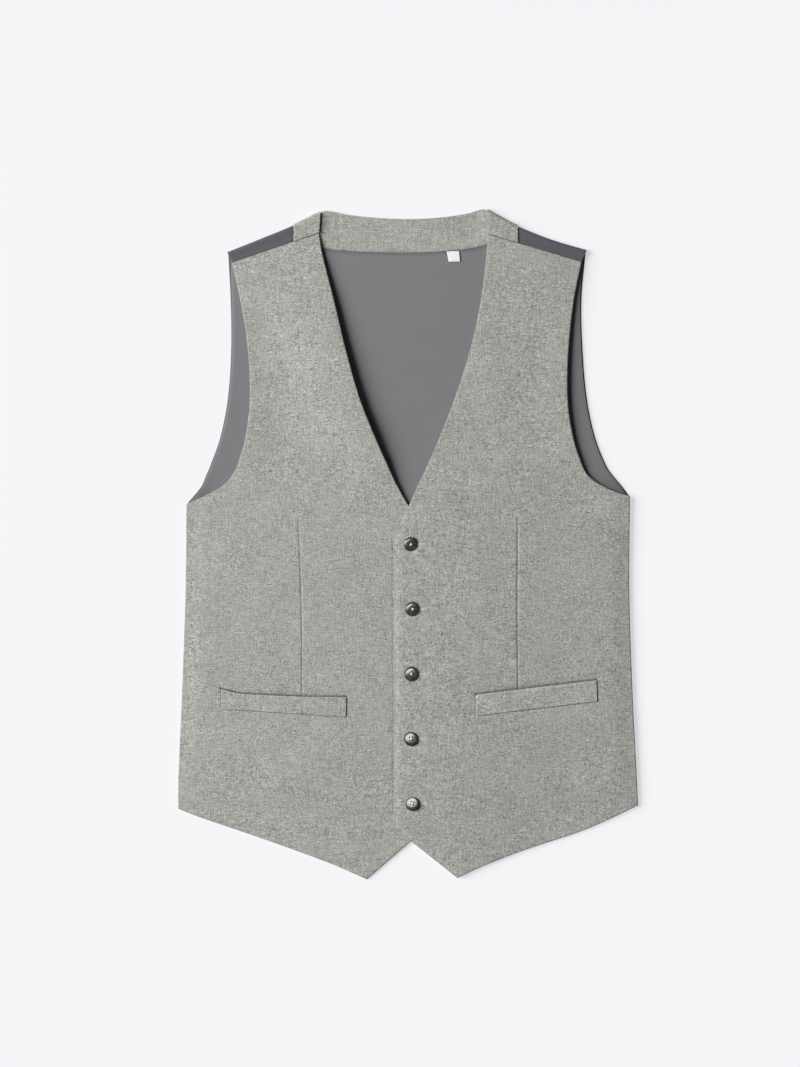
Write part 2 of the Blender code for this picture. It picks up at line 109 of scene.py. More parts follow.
# Back neck: the turned neck edge, and the seam below the neckband and the facing.
NeckSection = namedtuple("NeckSection", "x edge seam")
NECK_SECTIONS = (
    NeckSection(-60, 337.8, 301.0),
    NeckSection(-30, 334.9, 299.7),
    NeckSection(0, 333.8, 299.4),
    NeckSection(30, 335.2, 300.4),
    NeckSection(60, 339.4, 303.2),
)
Side = namedtuple("Side", "name inwards hem_point cutaway_top break_point neck_top neck_seam "
                          "shoulder_seam arm_foot underarm hem_corner hem fold back_underarm "
                          "back_corner neck_turn neck_corner band_share dart dart_depth")
RIGHT = Side(
    name="right", inwards=1,
    hem_point=(-42.5, -343.6), cutaway_top=(20.5, -288.8), break_point=(20.5, 4.6),
    neck_seam=(-91.4, 319.5), shoulder_seam=(-181.0, 289.0), underarm=(-227.6, 41.5),
    hem_corner=(-236.3, -271.0), arm_foot=(-213.0, 47.9),
    hem=((-84.0, -325.7), (-155.8, -299.6), (-213.2, -279.9)),
    fold=((-90.3, 340.9), (-119.4, 326.9), (-152.0, 313.5), (-186.0, 299.9)),
    back_underarm=(-226.6, 42.5), back_corner=(-235.1, -266.0), neck_turn=(-87.0, 304.5),
    neck_corner=(-86.3, 342.2), band_share=0.296, neck_top=(-88.4, 300.0),
    dart=((-118.5, 325.0), (-113.8, 37.4), (-111.0, -13.0), (-109.3, -77.0), (-109.1, -154.0),
          (-106.0, -345.0)),
    dart_depth=0.62,
)
LEFT = Side(
    name="left", inwards=-1,
    hem_point=(50.2, -342.1), cutaway_top=(-14.4, -290.6), break_point=(-15.1, 4.6),
    neck_seam=(81.0, 318.6), shoulder_seam=(177.6, 289.9), underarm=(227.0, 49.7),
    hem_corner=(235.4, -267.5), arm_foot=(214.6, 53.5),
    hem=((73.8, -330.9), (116.9, -314.1), (174.3, -295.0), (203.0, -283.0)),
    fold=((80.6, 343.4), (94.0, 335.8), (111.0, 327.0), (146.0, 313.0), (182.8, 302.0)),
    back_underarm=(226.0, 50.6), back_corner=(234.2, -263.0), neck_turn=(80.0, 307.5),
    neck_corner=(77.2, 343.8), band_share=0.323, neck_top=(80.1, 300.0),
    dart=((115.0, 325.0), (111.8, 32.3), (111.8, -5.0), (111.4, -63.0), (112.2, -149.0),
          (113.0, -345.0)),
    dart_depth=0.8,
)
BACK_HEM_MIDDLE = (0.0, -260.0)

# How high the underside of a front lies, down its length: at the right and the left front's own
# front or neck edge, in the middle, and at the side or armhole edge.  The right front's neck edge
# stands well off the back.  Past the back's hem the points come down to the table.
Height = namedtuple("Height", "y right left middle side")
FRONT_HEIGHTS = (
    Height(-344, 0.1, 0.1, 0.1, 0.1),
    Height(-306, 0.8, 0.8, 0.8, 0.9),
    Height(-268, 2.0, 2.0, 2.0, 1.8),
    Height(-244, 2.8, 2.8, 2.9, 2.1),
    Height(-120, 3.2, 3.2, 3.3, 2.2),
    Height(0, 3.5, 3.5, 3.5, 2.4),
    Height(40, 3.8, 3.8, 3.7, 3.0),
    Height(60, 5.4, 4.2, 3.9, 3.6),
    Height(85, 8.8, 4.7, 4.1, 5.0),
    Height(110, 10.6, 5.0, 4.3, 5.6),
    Height(150, 10.6, 5.1, 4.4, 5.7),
    Height(200, 9.4, 5.1, 4.4, 5.3),
    Height(250, 7.4, 4.8, 4.3, 4.4),
    Height(290, 5.0, 4.0, 3.8, 3.6),
    Height(320, 3.0, 3.0, 3.0, 3.0),
)
FRONT_EDGE_REACH = 100.0    # how far in from an edge its own height still tells
SIDE_REACH = 22.0
ARMHOLE_REACH = 40.0
LAP_LIFT = 2.7
LAP_END = 24.0             # the lap is level up to here across, then runs down
LAP_RUN = 150.0
LAP_TOP = 48.0             # and up to here along the neck edge
LAP_TOP_RUN = 60.0
CUTAWAY_SHARE = 3 / 14     # of the side seam, that lies beside the cutaway
HEM_REACH = 70.0           # how far up the hem's own curve still tells

# Pocket welts: the upper and lower edge of each, from its end by the front edge to its outer end.
Welt = namedtuple("Welt", "name top bottom turn tone")
WELT_RIGHT = Welt("pocket_welt_right",
                  ((-63.4, -156.3), (-109.0, -155.8), (-150.0, -154.0), (-171.9, -152.7),
                   (-192.3, -148.0)),
                  ((-64.2, -176.7), (-191.3, -168.4)), -0.065, 1.0)
WELT_LEFT = Welt("pocket_welt_left", ((69.0, -153.8), (192.9, -139.1)),
                 ((69.0, -175.5), (193.4, -160.5)), 0.118, 1.07)
DART_TOP = 38.0            # the dart runs from here down into the pocket
DART_FOOT = -153.0

# Soft creases and swellings of the fronts; rise below zero is a trough.
Crease = namedtuple("Crease", "x0 y0 x1 y1 rise width")
RIGHT_CREASES = (
    Crease(-205, 20, -130, 62, -0.55, 15),
    Crease(-212, -22, -150, -4, 0.40, 18),
    Crease(-80, 250, -98, 150, 0.45, 16),
    Crease(-152, 262, -146, 176, -0.40, 14),
    Crease(-208, -215, -132, -232, -0.45, 17),
    Crease(-70, -45, -22, -36, -0.35, 12),
    Crease(-88, -225, -58, -305, 0.45, 17),
    Crease(-178, -88, -128, -102, 0.35, 20),
    Crease(-60, 95, -86, 30, -0.40, 18),
)
LEFT_CREASES = (
    Crease(206, 28, 138, 74, -0.60, 16),
    Crease(216, -40, 160, -18, 0.40, 20),
    Crease(70, 232, 92, 128, 0.50, 15),
    Crease(146, 246, 132, 165, -0.45, 15),
    Crease(212, -205, 142, -238, -0.40, 16),
    Crease(30, -98, 78, -112, -0.35, 13),
    Crease(34, -228, 82, -214, -0.30, 12),
    Crease(96, -238, 74, -312, 0.45, 18),
    Crease(48, 74, 84, 12, -0.45, 17),
    Crease(152, -96, 206, -112, 0.35, 19),
)
BACK_CREASES = (
    Crease(-60, 235, -10, 90, 0.22, 26),
    Crease(150, 120, 70, 60, 0.20, 30),
    Crease(-170, 20, -60, -10, 0.22, 24),
    Crease(190, -120, 40, -150, 0.20, 32),
    Crease(-150, -190, -20, -175, 0.22, 28),
    Crease(30, 270, 46, 180, 0.20, 20),
)

BUTTON_FIRST_Y = 0.3
BUTTON_PITCH = 66.4
BUTTON_LINE_X = 3.5
# How far each button strays sideways, how it is turned and how its face leans, across and up, in
# degrees; and how high the stitches of its hole stand on the nap, where the lower ones sink in it.
Button = namedtuple("Button", "stray turn across up stitch_lift")
BUTTONS = (
    Button(-0.9, 20.0, 6.0, -7.0, 0.02),
    Button(0.8, 40.0, 3.0, -2.5, 0.28),
    Button(-0.2, 10.0, -0.5, 1.0, 0.04),
    Button(-0.6, 55.0, -1.5, 7.0, -0.04),
    Button(0.8, 30.0, -5.0, 9.5, -0.1),
)
DIMPLE_DEPTH = 0.4         # each button is sewn down into the cloth
DIMPLE_WIDTH = 8.5

LABEL_TOP = ((39.4, 300.6), (52.0, 300.9))
LABEL_BOTTOM = ((41.5, 289.9), (53.0, 290.1))


def button_line():
    """The places of the five buttons."""
    return [(BUTTON_LINE_X + button.stray, BUTTON_FIRST_Y - number * BUTTON_PITCH)
            for number, button in enumerate(BUTTONS)]


# ---------------------------------------------------------------- curves, grids and heights

def smooth_line(places, fractions):
    """Points at the given fractions of the length of a smooth curve through a few places."""
    knots = np.array([tuple(place)[:2] for place in places], float)
    last = len(knots) - 1
    ahead = knots[[min(i + 1, last) for i in range(last + 1)]]
    behind = knots[[max(i - 1, 0) for i in range(last + 1)]]
    headings = (ahead - behind) / np.linalg.norm(ahead - behind, axis=1)[:, None]
    t = np.linspace(0, 1, 25)[:, None]
    dense = [knots[:1]]
    for i in range(last):             # a Bezier arc between each place and the next
        start, end = knots[i], knots[i + 1]
        reach = np.linalg.norm(end - start) / 3
        leave, arrive = start + headings[i] * reach, end - headings[i + 1] * reach
        piece = ((1 - t) ** 3 * start + 3 * (1 - t) ** 2 * t * leave
                 + 3 * (1 - t) * t ** 2 * arrive + t ** 3 * end)
        dense.append(piece[1:])
    dense = np.vstack(dense)
    steps = np.linalg.norm(np.diff(dense, axis=0), axis=1)
    travelled = np.concatenate([[0], np.cumsum(steps)])
    at = np.asarray(fractions) * travelled[-1]
    return np.column_stack([np.interp(at, travelled, dense[:, k]) for k in (0, 1)])


def even(steps):
    """Fractions of a length, evenly apart."""
    return np.linspace(0, 1, steps + 1)


def chain(*lines):
    """One line out of several that meet end to end."""
    return np.vstack([lines[0]] + [line[1:] for line in lines[1:]])


def column(table, name):
    """The places of one edge, down a table of sections."""
    return [(getattr(row, name), row.y) for row in table]


def ordered(line):
    """The xs and ys of a line, with the xs going up."""
    line = line[np.argsort(line[:, 0])]
    return line[:, 0], line[:, 1]


# Where grid lines go beside an edge and on both sides of a seam, and how close they lie at detail.
EDGE_MARKS = np.array((0.0, 0.1, 0.3, 0.6, 1.0, 1.7))
SEAM_MARKS = np.array((-2.2, -1.4, -0.9, -0.45, 0.0, 0.45, 0.9, 1.4, 2.2))
FINE_CELL = 0.8
CLEAR_SHARE = 0.35         # of a cell, that plain grid lines keep from those


def marks(length, cell, start=False, end=False, seams=(), fine=None):
    """Fractions of a length where grid lines go: a cell apart, and closer where detail is."""
    special = np.concatenate([
        EDGE_MARKS if start else [], length - EDGE_MARKS if end else [],
        *[seam + SEAM_MARKS for seam in seams], np.arange(*fine, FINE_CELL) if fine else []])
    special = special[(special >= 0) & (special <= length)]
    plain = [place for place in np.linspace(0, length, math.ceil(length / cell) + 1)[1:-1]
             if not len(special) or np.abs(special - place).min() > CLEAR_SHARE * cell]
    return np.unique(np.round([0.0, length, *plain, *special], 4)) / length


def rise(rows, place, name):
    """One column of a table at some places, on a smooth curve through its rows."""
    places = np.array([row[0] for row in rows], float)
    values = np.array([getattr(row, name) for row in rows], float)
    slopes = np.gradient(values, places)
    place = np.clip(place, places[0], places[-1])
    i = np.clip(np.searchsorted(places, place, side="right") - 1, 0, len(places) - 2)
    span = places[i + 1] - places[i]
    t = (place - places[i]) / span
    start = (1 + 2 * t) * (1 - t) ** 2 * values[i] + t * (1 - t) ** 2 * span * slopes[i]
    return start + t * t * (3 - 2 * t) * values[i + 1] - t * t * (1 - t) * span * slopes[i + 1]


def fade(distance, reach):
    """1 at no distance, falling softly to 0 at the reach."""
    t = np.clip(distance / reach, 0, 1)
    return 1 - t * t * (3 - 2 * t)


def bell(away, width):
    """1 at no distance, falling away to nothing on both sides."""
    return np.exp(-(away / width) ** 2)


def nearest(points, path):
    """How far each point is from a path, and the share of the path where it is nearest."""
    path = np.asarray(path, float)
    lengths = np.linalg.norm(np.diff(path, axis=0), axis=1)
    before = np.concatenate([[0], np.cumsum(lengths)])
    best = np.full(len(points), 1e9)
    share = np.zeros(len(points))
    for i, length in enumerate(lengths):
        run = (path[i + 1] - path[i]) / max(length, 1e-9)
        along = np.clip((points - path[i]) @ run, 0, length)
        away = np.linalg.norm(points - path[i] - along[:, None] * run, axis=1)
        closer = away < best
        best[closer] = away[closer]
        share[closer] = (before[i] + along[closer]) / before[-1]
    return best, share


def creases(flat, table):
    """Height that a table of creases adds at each point of a plan."""
    points = flat.reshape(-1, 2)
    total = np.zeros(len(points))
    for row in table:
        away, share = nearest(points, ((row.x0, row.y0), (row.x1, row.y1)))
        ends = 0.25 + 0.75 * np.sin(math.pi * share)
        total += row.rise * bell(away, row.width) * ends
    return total.reshape(flat.shape[:2])


def patch(bottom, top, first, last):
    """Rows of points that fill the space between four edges, as in the frame's own solids."""
    u = np.linalg.norm(bottom - bottom[0], axis=1)
    u = (u / (u + np.linalg.norm(bottom[-1] - bottom, axis=1)))[None, :, None]
    v = np.linspace(0, 1, len(first))[:, None, None]
    across = first[:, None] * (1 - u) + last[:, None] * u
    along = bottom[None] * (1 - v) + top[None] * v
    low = bottom[0] * (1 - u) + bottom[-1] * u
    high = top[0] * (1 - u) + top[-1] * u
    return across + along - low * (1 - v) - high * v


# ---------------------------------------------------------------- meshes

def quads(index):
    """Faces of a grid of point numbers, facing up where rows go to +Y and columns to +X."""
    corners = [index[:-1, :-1], index[:-1, 1:], index[1:, 1:], index[1:, :-1]]
    return np.stack(corners, -1).reshape(-1, 4)


def in_scene(name, data):
    """A new object in the scene, for a mesh, a curve, a lamp or a camera."""
    made = bpy.data.objects.new(name, data)
    bpy.context.scene.collection.objects.link(made)
    return made


def make_object(name, mesh):
    """The object of a finished piece."""
    mesh.name = name
    mesh.shade_smooth()
    return in_scene(name, mesh)


def shell_mesh(flat, underside, wall, edge, relief):
    """A cloth wall with round edges, on a plan grid.

    underside is its height at each point, edge the distance to the cloth's own edge, and relief
    what the upper side adds: creases, and troughs at the seams.
    """
    rows, columns = underside.shape
    roll = np.clip(edge / (wall / 2), 0, 1)
    bulge = np.sqrt(1 - (1 - roll) ** 2)
    middle = underside + wall / 2
    top = middle + wall / 2 * bulge + relief * np.clip(edge / wall, 0, 1)
    bottom = middle - wall / 2 * bulge
    upper = np.dstack([flat, top]).reshape(-1, 3)
    lower = np.dstack([flat, bottom]).reshape(-1, 3)
    index = np.arange(rows * columns).reshape(rows, columns)
    under = index.copy()
    inside = np.arange((rows - 2) * (columns - 2)).reshape(rows - 2, columns - 2)
    under[1:-1, 1:-1] = inside + rows * columns
    points = np.vstack([upper, lower[index[1:-1, 1:-1].ravel()]]) * MM
    faces = np.vstack([quads(index), quads(under)[:, ::-1]])
    mesh = bpy.data.meshes.new("cloth")
    mesh.from_pydata(points.tolist(), [], faces.tolist())
    return mesh


def store_painted_shade(mesh, values):
    """Stores painted shade on the upper side, from 0 to 1, as the seam attribute by which the
    cloth's material darkens its colour.
    """
    attribute = mesh.attributes.new("seam", "FLOAT", "POINT")
    whole = np.zeros(len(mesh.vertices), np.float32)
    whole[:values.size] = values.ravel()
    attribute.data.foreach_set("value", whole)


MERGE = 0.01               # points closer than this are one
EDGE_ANGLE = 50.0          # degrees, over which an edge is rounded


def sheet_mesh(grids, wall, faces_up, edge_round):
    """A cloth wall on one or more grids that join along shared points, with softened edges."""
    shape = bmesh.new()
    for grid in grids:
        corners = [[shape.verts.new(point * MM) for point in row] for row in grid]
        for low, high in zip(corners, corners[1:]):
            for i in range(len(low) - 1):
                shape.faces.new((low[i], low[i + 1], high[i + 1], high[i]))
    bmesh.ops.remove_doubles(shape, verts=shape.verts, dist=MERGE * MM)
    bmesh.ops.recalc_face_normals(shape, faces=shape.faces)
    flattest = max(shape.faces, key=lambda face: face.calc_area())
    if (flattest.normal.z > 0) != faces_up:
        bmesh.ops.reverse_faces(shape, faces=shape.faces)
    mesh = bpy.data.meshes.new("sheet")
    shape.to_mesh(mesh)
    shape.free()
    made = in_scene("sheet", mesh)
    solid = made.modifiers.new("wall", "SOLIDIFY")
    solid.thickness = wall * MM
    solid.offset = 1 if faces_up else -1
    soften = made.modifiers.new("turned edge", "BEVEL")
    soften.width = edge_round * MM
    soften.segments = 3
    soften.limit_method = "ANGLE"
    soften.angle_limit = math.radians(EDGE_ANGLE)
    return plain_mesh(made)


def plain_mesh(made):
    """The evaluated mesh of an object, which is then removed."""
    graph = bpy.context.evaluated_depsgraph_get()
    mesh = bpy.data.meshes.new_from_object(made.evaluated_get(graph))
    bpy.data.objects.remove(made)
    return mesh


def paint_shade_near(mesh, *painted_shades):
    """Stores painted shade near paths, as the seam attribute; a shade is a path, its width and its
    depth.
    """
    places = np.empty(len(mesh.vertices) * 3, np.float32)
    mesh.vertices.foreach_get("co", places)
    plan = places.reshape(-1, 3)[:, :2] / MM
    depths = [depth * groove(plan, path, width) for path, width, depth in painted_shades]
    store_painted_shade(mesh, np.max(depths, axis=0))


def surface_of(flat, heights):
    """A search tree over a height grid, for laying small things on it."""
    points = np.dstack([flat, heights]).reshape(-1, 3)
    index = np.arange(len(points)).reshape(heights.shape)
    return BVHTree.FromPolygons(points.tolist(), quads(index).tolist())


def height_on(surface, x, y):
    """Height of a surface at one place."""
    return surface.ray_cast(Vector((x, y, 100)), Vector((0, 0, -1)))[0].z


def heights_on(surface, flat):
    """Height of a surface at each point of a plan."""
    values = [height_on(surface, x, y) for x, y in flat.reshape(-1, 2)]
    return np.array(values).reshape(flat.shape[:2])


def finish_piece(made, material, slot, *nodes):
    """Gives a piece its material and its place in the frame; its slot is not used."""
    made.data.materials.clear()
    made.data.materials.append(material)
    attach(made, BODY)
    if nodes:
        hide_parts(*nodes)
    return made


# ---------------------------------------------------------------- materials

def add(tree, kind, settings=None, inputs=None):
    """Adds a node, with its settings and with its inputs linked or set."""
    made = tree.nodes.new(kind)
    for name, value in (settings or {}).items():
        setattr(made, name, value)
    for name, value in (inputs or {}).items():
        if isinstance(value, bpy.types.NodeSocket):
            tree.links.new(value, made.inputs[name])
        else:
            made.inputs[name].default_value = value
    return made


def new_material(name, sockets):
    """An empty material with its shader, and its coordinates in metres."""
    made = bpy.data.materials.new(name)
    made.use_nodes = True
    tree = made.node_tree
    tree.nodes.clear()
    shader = add(tree, "ShaderNodeBsdfPrincipled", inputs=sockets)
    add(tree, "ShaderNodeOutputMaterial", inputs={"Surface": shader.outputs[0]})
    place = add(tree, "ShaderNodeTexCoord").outputs["Object"]
    return made, tree, shader, place


def noise(tree, place, turn, sizes, detail, offset=(0, 0, 0)):
    """Noise whose grains measure the given millimetres along each axis of the cloth."""
    mapped = add(tree, "ShaderNodeMapping", {"vector_type": "TEXTURE"}, {
        "Vector": place, "Rotation": (0, 0, turn), "Scale": [size * MM for size in sizes],
        "Location": [o * MM for o in offset]})
    return add(tree, "ShaderNodeTexNoise", {"noise_dimensions": "3D"}, {
        "Vector": mapped.outputs[0], "Scale": 1.0, "Detail": detail, "Roughness": 0.6}).outputs[0]


def weigh(tree, value, weight, other):
    """other + (value - 0.5) * weight."""
    centred = add(tree, "ShaderNodeMath", {"operation": "SUBTRACT"}, {0: value, 1: 0.5}).outputs[0]
    return add(tree, "ShaderNodeMath", {"operation": "MULTIPLY_ADD"},
               {0: centred, 1: weight, 2: other}).outputs[0]


def wool_flannel(name, colours, turn=0.0, tone=1.0, offset=(0, 0, 0)):
    """Wool flannel, woven from melange yarn and lightly raised: light and dark fibres mix in every
    yarn, a few thick yarns show as faint streaks both ways, and the nap hides the weave."""
    made, tree, shader, place = new_material(name, {
        "Roughness": 0.92, "Specular IOR Level": 0.25,
        "Sheen Weight": 0.18, "Sheen Roughness": 0.55})
    # Yarns are about 0.5 mm apart; the mixed flecks are drawn about twice as coarse, so they show.
    fleck = noise(tree, place, turn, (1.5, 1.3, 1.4), 3.0, offset)
    blot = noise(tree, place, turn, (4.2, 3.4, 4.0), 2.0, offset)
    weft = noise(tree, place, turn, (11.0, 1.4, 6.0), 2.0, offset)
    warp = noise(tree, place, turn, (1.35, 13.0, 6.0), 2.0, offset)
    cloud = noise(tree, place, turn, (42.0, 30.0, 40.0), 2.0, offset)
    # The nap is rubbed unevenly, so the flecks show more in some places than in others.
    rub = noise(tree, place, turn, (13.0, 9.0, 12.0), 2.0, offset)
    rubbed = add(tree, "ShaderNodeMapRange", inputs={
        "Value": rub, "From Min": 0.3, "From Max": 0.7, "To Min": 0.95, "To Max": 2.3})
    total = weigh(tree, fleck, rubbed.outputs[0], 0.5)
    for value, weight in ((blot, 0.42), (weft, 0.48), (warp, 0.42), (cloud, 0.16)):
        total = weigh(tree, value, weight, total)
    ramp = add(tree, "ShaderNodeValToRGB", inputs={0: total})
    stops = ((0.12, colours.wool_dark), (0.5, colours.wool), (0.88, colours.wool_light))
    while len(ramp.color_ramp.elements) < len(stops):
        ramp.color_ramp.elements.new(0.5)
    for element, (position, colour) in zip(ramp.color_ramp.elements, stops):
        element.position = position
        element.color = [part * tone for part in colour] + [1]
    # Painted shade: where the seam attribute rises, in seams, grooves, the pocket mouths and at
    # edges, the colour darkens towards 0.3 of the dark fibres.
    seam = add(tree, "ShaderNodeAttribute", {"attribute_name": "seam"}).outputs["Fac"]
    dark = [part * 0.30 for part in colours.wool_dark] + [1]
    painted_shade_colour = add(tree, "ShaderNodeMix", {"data_type": "RGBA"},
                 {0: seam, 6: ramp.outputs[0], 7: dark}).outputs[2]
    tree.links.new(painted_shade_colour, shader.inputs["Base Color"])
    rib = noise(tree, place, turn, (3.0, 0.9, 2.0), 2.0, offset)
    height = weigh(tree, rib, 0.7, fleck)
    bump = add(tree, "ShaderNodeBump", inputs={
        "Height": height, "Strength": 0.45, "Distance": 0.3 * MM})
    tree.links.new(bump.outputs[0], shader.inputs["Normal"])
    return made


def satin_weave(name, colour, roughness, weave_and_sheen_streak):
    """Acetate satin: long floats lie side by side, so it shines softly across them; its colour
    varies in fine streaks of the weave and in broad soft bands of painted sheen.
    """
    made, tree, shader, place = new_material(name, {
        "Roughness": roughness, "Specular IOR Level": 0.4, "Anisotropic": 0.35})
    float_run = noise(tree, place, 0.0, (0.8, 30.0, 8.0), 2.0)
    soft = noise(tree, place, 0.35, (55.0, 26.0, 30.0), 2.0)
    # The fine streaks along the floats are the weave's own tone; the broad soft bands are painted
    # sheen.
    total = weigh(tree, float_run, weave_and_sheen_streak, 1.0)
    total = weigh(tree, soft, weave_and_sheen_streak * 1.6, total)
    tint = add(tree, "ShaderNodeMix", {"data_type": "RGBA", "blend_type": "MULTIPLY"},
               {0: 1.0, 6: list(colour) + [1], 7: total}).outputs[2]
    # Painted shade: where the seam attribute rises, along the lining's neck seam and under the
    # arms, the colour darkens towards a tenth of itself.
    seam = add(tree, "ShaderNodeAttribute", {"attribute_name": "seam"}).outputs["Fac"]
    painted_shade_colour = add(tree, "ShaderNodeMix", {"data_type": "RGBA"},
                 {0: seam, 6: tint, 7: [part * 0.1 for part in colour] + [1]}).outputs[2]
    tree.links.new(painted_shade_colour, shader.inputs["Base Color"])
    bump = add(tree, "ShaderNodeBump", inputs={
        "Height": float_run, "Strength": 0.15, "Distance": 0.1 * MM})
    tree.links.new(bump.outputs[0], shader.inputs["Normal"])
    return made


def polished_horn(name, colours):
    """Buffalo horn, turned and polished: near black, with faint brown clouds under a gloss."""
    made, tree, shader, place = new_material(name, {
        "IOR": 1.54, "Coat Weight": 0.4, "Coat Roughness": 0.12})
    cloud = noise(tree, place, 0.5, (5.0, 1.6, 3.0), 3.0)
    ramp = add(tree, "ShaderNodeValToRGB", inputs={0: cloud})
    stops = ((0.40, colours.horn), (0.75, colours.horn_cloud))
    for element, (position, colour) in zip(ramp.color_ramp.elements, stops):
        element.position = position
        element.color = list(colour) + [1]
    tree.links.new(ramp.outputs[0], shader.inputs["Base Color"])
    scuff = noise(tree, place, 0.2, (0.5, 1.2, 0.5), 3.0)
    rough = add(tree, "ShaderNodeMapRange", inputs={
        "Value": scuff, "From Min": 0.3, "From Max": 0.7, "To Min": 0.20, "To Max": 0.34})
    tree.links.new(rough.outputs[0], shader.inputs["Roughness"])
    return made


def sewing_silk(name, colour):
    """Twisted silk thread: a soft sheen and a fine twist."""
    made, tree, shader, place = new_material(name, {"Roughness": 0.6, "Sheen Weight": 0.2})
    twist = noise(tree, place, 0.7, (0.5, 0.25, 0.4), 2.0)
    tint = add(tree, "ShaderNodeMix", {"data_type": "RGBA", "blend_type": "MULTIPLY"},
               {0: 1.0, 6: list(colour) + [1], 7: weigh(tree, twist, 0.5, 1.0)}).outputs[2]
    tree.links.new(tint, shader.inputs["Base Color"])
    return made


def woven_tape(name, colour):
    """Polyester satin tape, as size labels are woven from: bright, with fine cross ribs."""
    made, tree, shader, place = new_material(name, {"Roughness": 0.5})
    rib = noise(tree, place, 0.0, (6.0, 0.4, 2.0), 1.0)
    tint = add(tree, "ShaderNodeMix", {"data_type": "RGBA", "blend_type": "MULTIPLY"},
               {0: 1.0, 6: list(colour) + [1], 7: weigh(tree, rib, 0.16, 1.0)}).outputs[2]
    tree.links.new(tint, shader.inputs["Base Color"])
    bump = add(tree, "ShaderNodeBump", inputs={
        "Height": rib, "Strength": 0.3, "Distance": 0.1 * MM})
    tree.links.new(bump.outputs[0], shader.inputs["Normal"])
    return made


# ---------------------------------------------------------------- fronts and pockets

def dart_crossings(inner, outer, dart):
    """Where each row, from the front edge to the side, crosses the dart's line."""
    across, heights = np.array(dart)[::-1].T
    share = np.full(len(inner), 0.5)
    for _ in range(12):
        point = inner + (outer - inner) * share[:, None]
        target = np.interp(point[:, 1], heights, across)
        share = (target - inner[:, 0]) / (outer[:, 0] - inner[:, 0])
    return inner + (outer - inner) * np.clip(share, 0.05, 0.95)[:, None]


# Lengths that a front's rows are laid out on, from the hem up, and the reach of the pocket on them.
CUTAWAY_LENGTH = 83
EDGE_LENGTH = 295
NECK_LENGTH = 300
POCKET_RUN = (62, 116)


def front_plan(side, welt, cell):
    """Plan grid of a front, with its rows' two ends."""
    cutaway = marks(CUTAWAY_LENGTH, cell, start=True)
    edge = marks(EDGE_LENGTH, cell, fine=POCKET_RUN)
    neck = marks(NECK_LENGTH, cell, end=True)
    neckline = [side.break_point] + column(SECTIONS, "neck_" + side.name)
    neckline += [side.neck_top, side.neck_seam]
    inner = chain(smooth_line((side.hem_point, side.cutaway_top), cutaway),
                  smooth_line((side.cutaway_top, side.break_point), edge),
                  smooth_line(neckline, neck))
    seam = [side.hem_corner] + column(SIDE_SECTIONS, side.name) + [side.underarm]
    seam_share = chain(cutaway[:, None] * CUTAWAY_SHARE,
                       CUTAWAY_SHARE + (1 - CUTAWAY_SHARE) * edge[:, None])[:, 0]
    armhole = [side.underarm, side.arm_foot] + column(SECTIONS, "arm_" + side.name)
    armhole += [side.shoulder_seam]
    outer = chain(smooth_line(seam, seam_share), smooth_line(armhole, neck))
    middle = dart_crossings(inner, outer, side.dart)
    edge_x, dart_x = side.cutaway_top[0], side.dart[-2][0]
    front_width = abs(dart_x - edge_x)
    side_width = abs(getattr(SIDE_SECTIONS[1], side.name) - dart_x)
    lap = abs(LEFT.cutaway_top[0] - RIGHT.cutaway_top[0])
    near, far = abs(welt.top[0][0] - edge_x), abs(welt.top[-1][0] - dart_x)
    first = marks(front_width, cell, start=True, seams=(lap, near, front_width))[None, :, None]
    second = marks(side_width, cell, end=True, seams=(0, far))[None, :, None]
    inner_half = inner[:, None] * (1 - first) + middle[:, None] * first
    outer_half = middle[:, None] * (1 - second) + outer[:, None] * second
    flat = np.concatenate([inner_half, outer_half[:, 1:]], axis=1)
    return flat, inner, outer


def bend_hem(side, flat):
    """Moves the lowest rows, so that the straight hem follows its own soft curve."""
    hem = smooth_line((side.hem_point, *side.hem, side.hem_corner), even(80))
    straight = np.interp(flat[..., 0], *ordered(np.array((side.hem_point, side.hem_corner))))
    bow = np.interp(flat[..., 0], *ordered(hem)) - straight
    flat[..., 1] += bow * fade(flat[..., 1] - straight, HEM_REACH)


def front_heights(side, flat, from_front, from_side):
    """Height of a front's underside, the same as its solid's in the frame."""
    x, y = flat[..., 0], flat[..., 1]
    middle = rise(FRONT_HEIGHTS, y, "middle")
    reach = np.where(y < SECTIONS[0].y, SIDE_REACH, ARMHOLE_REACH)
    height = middle.copy()
    height += (rise(FRONT_HEIGHTS, y, side.name) - middle) * fade(from_front, FRONT_EDGE_REACH)
    height += (rise(FRONT_HEIGHTS, y, "side") - middle) * fade(from_side, reach)
    if side is LEFT:
        height += LAP_LIFT * fade(x - LAP_END, LAP_RUN) * fade(y - LAP_TOP, LAP_TOP_RUN)
    return height


def groove(points, path, width):
    """A bell across a path."""
    return bell(nearest(points, path)[0], width)


# What a seam does to the upper side: how deep it presses and how wide, and how dark and how wide
# the painted shade is that darkens the cloth along it.
Press = namedtuple("Press", "depth width shade shade_width")
DART_PRESS = Press(0.55, 0.75, 0.42, 0.8)
MOUTH_PRESS = Press(1.1, 1.0, 0.85, 0.9)
MOUTH_SAG = Press(0.75, 6.5, 0.16, 5.0)      # the cloth above the pocket's mouth sinks, and painted shade darkens it
WELT_PRESS = Press(1.1, 0.8, 1.0, 0.75)
WELT_DEPTHS = (0.42, 0.34, 0.30)             # share of that along its foot, inner and outer end
LAP_PRESS = Press(0.3, 1.0, 0.16, 0.7)
LAP_ASIDE = 0.7            # the lap's painted shadow lies this far beside its edge
DART_RUN_OUT = 26.0        # the dart dies away over this length at its top, and this at its foot
DART_FOOT_RUN_OUT = 6.0
DART_SWELL = 0.22          # the cloth stands up beside the dart, this high, far away and wide
DART_SWELL_ASIDE = 3.0
DART_SWELL_WIDTH = 2.4
MOUTH_ABOVE = 0.5


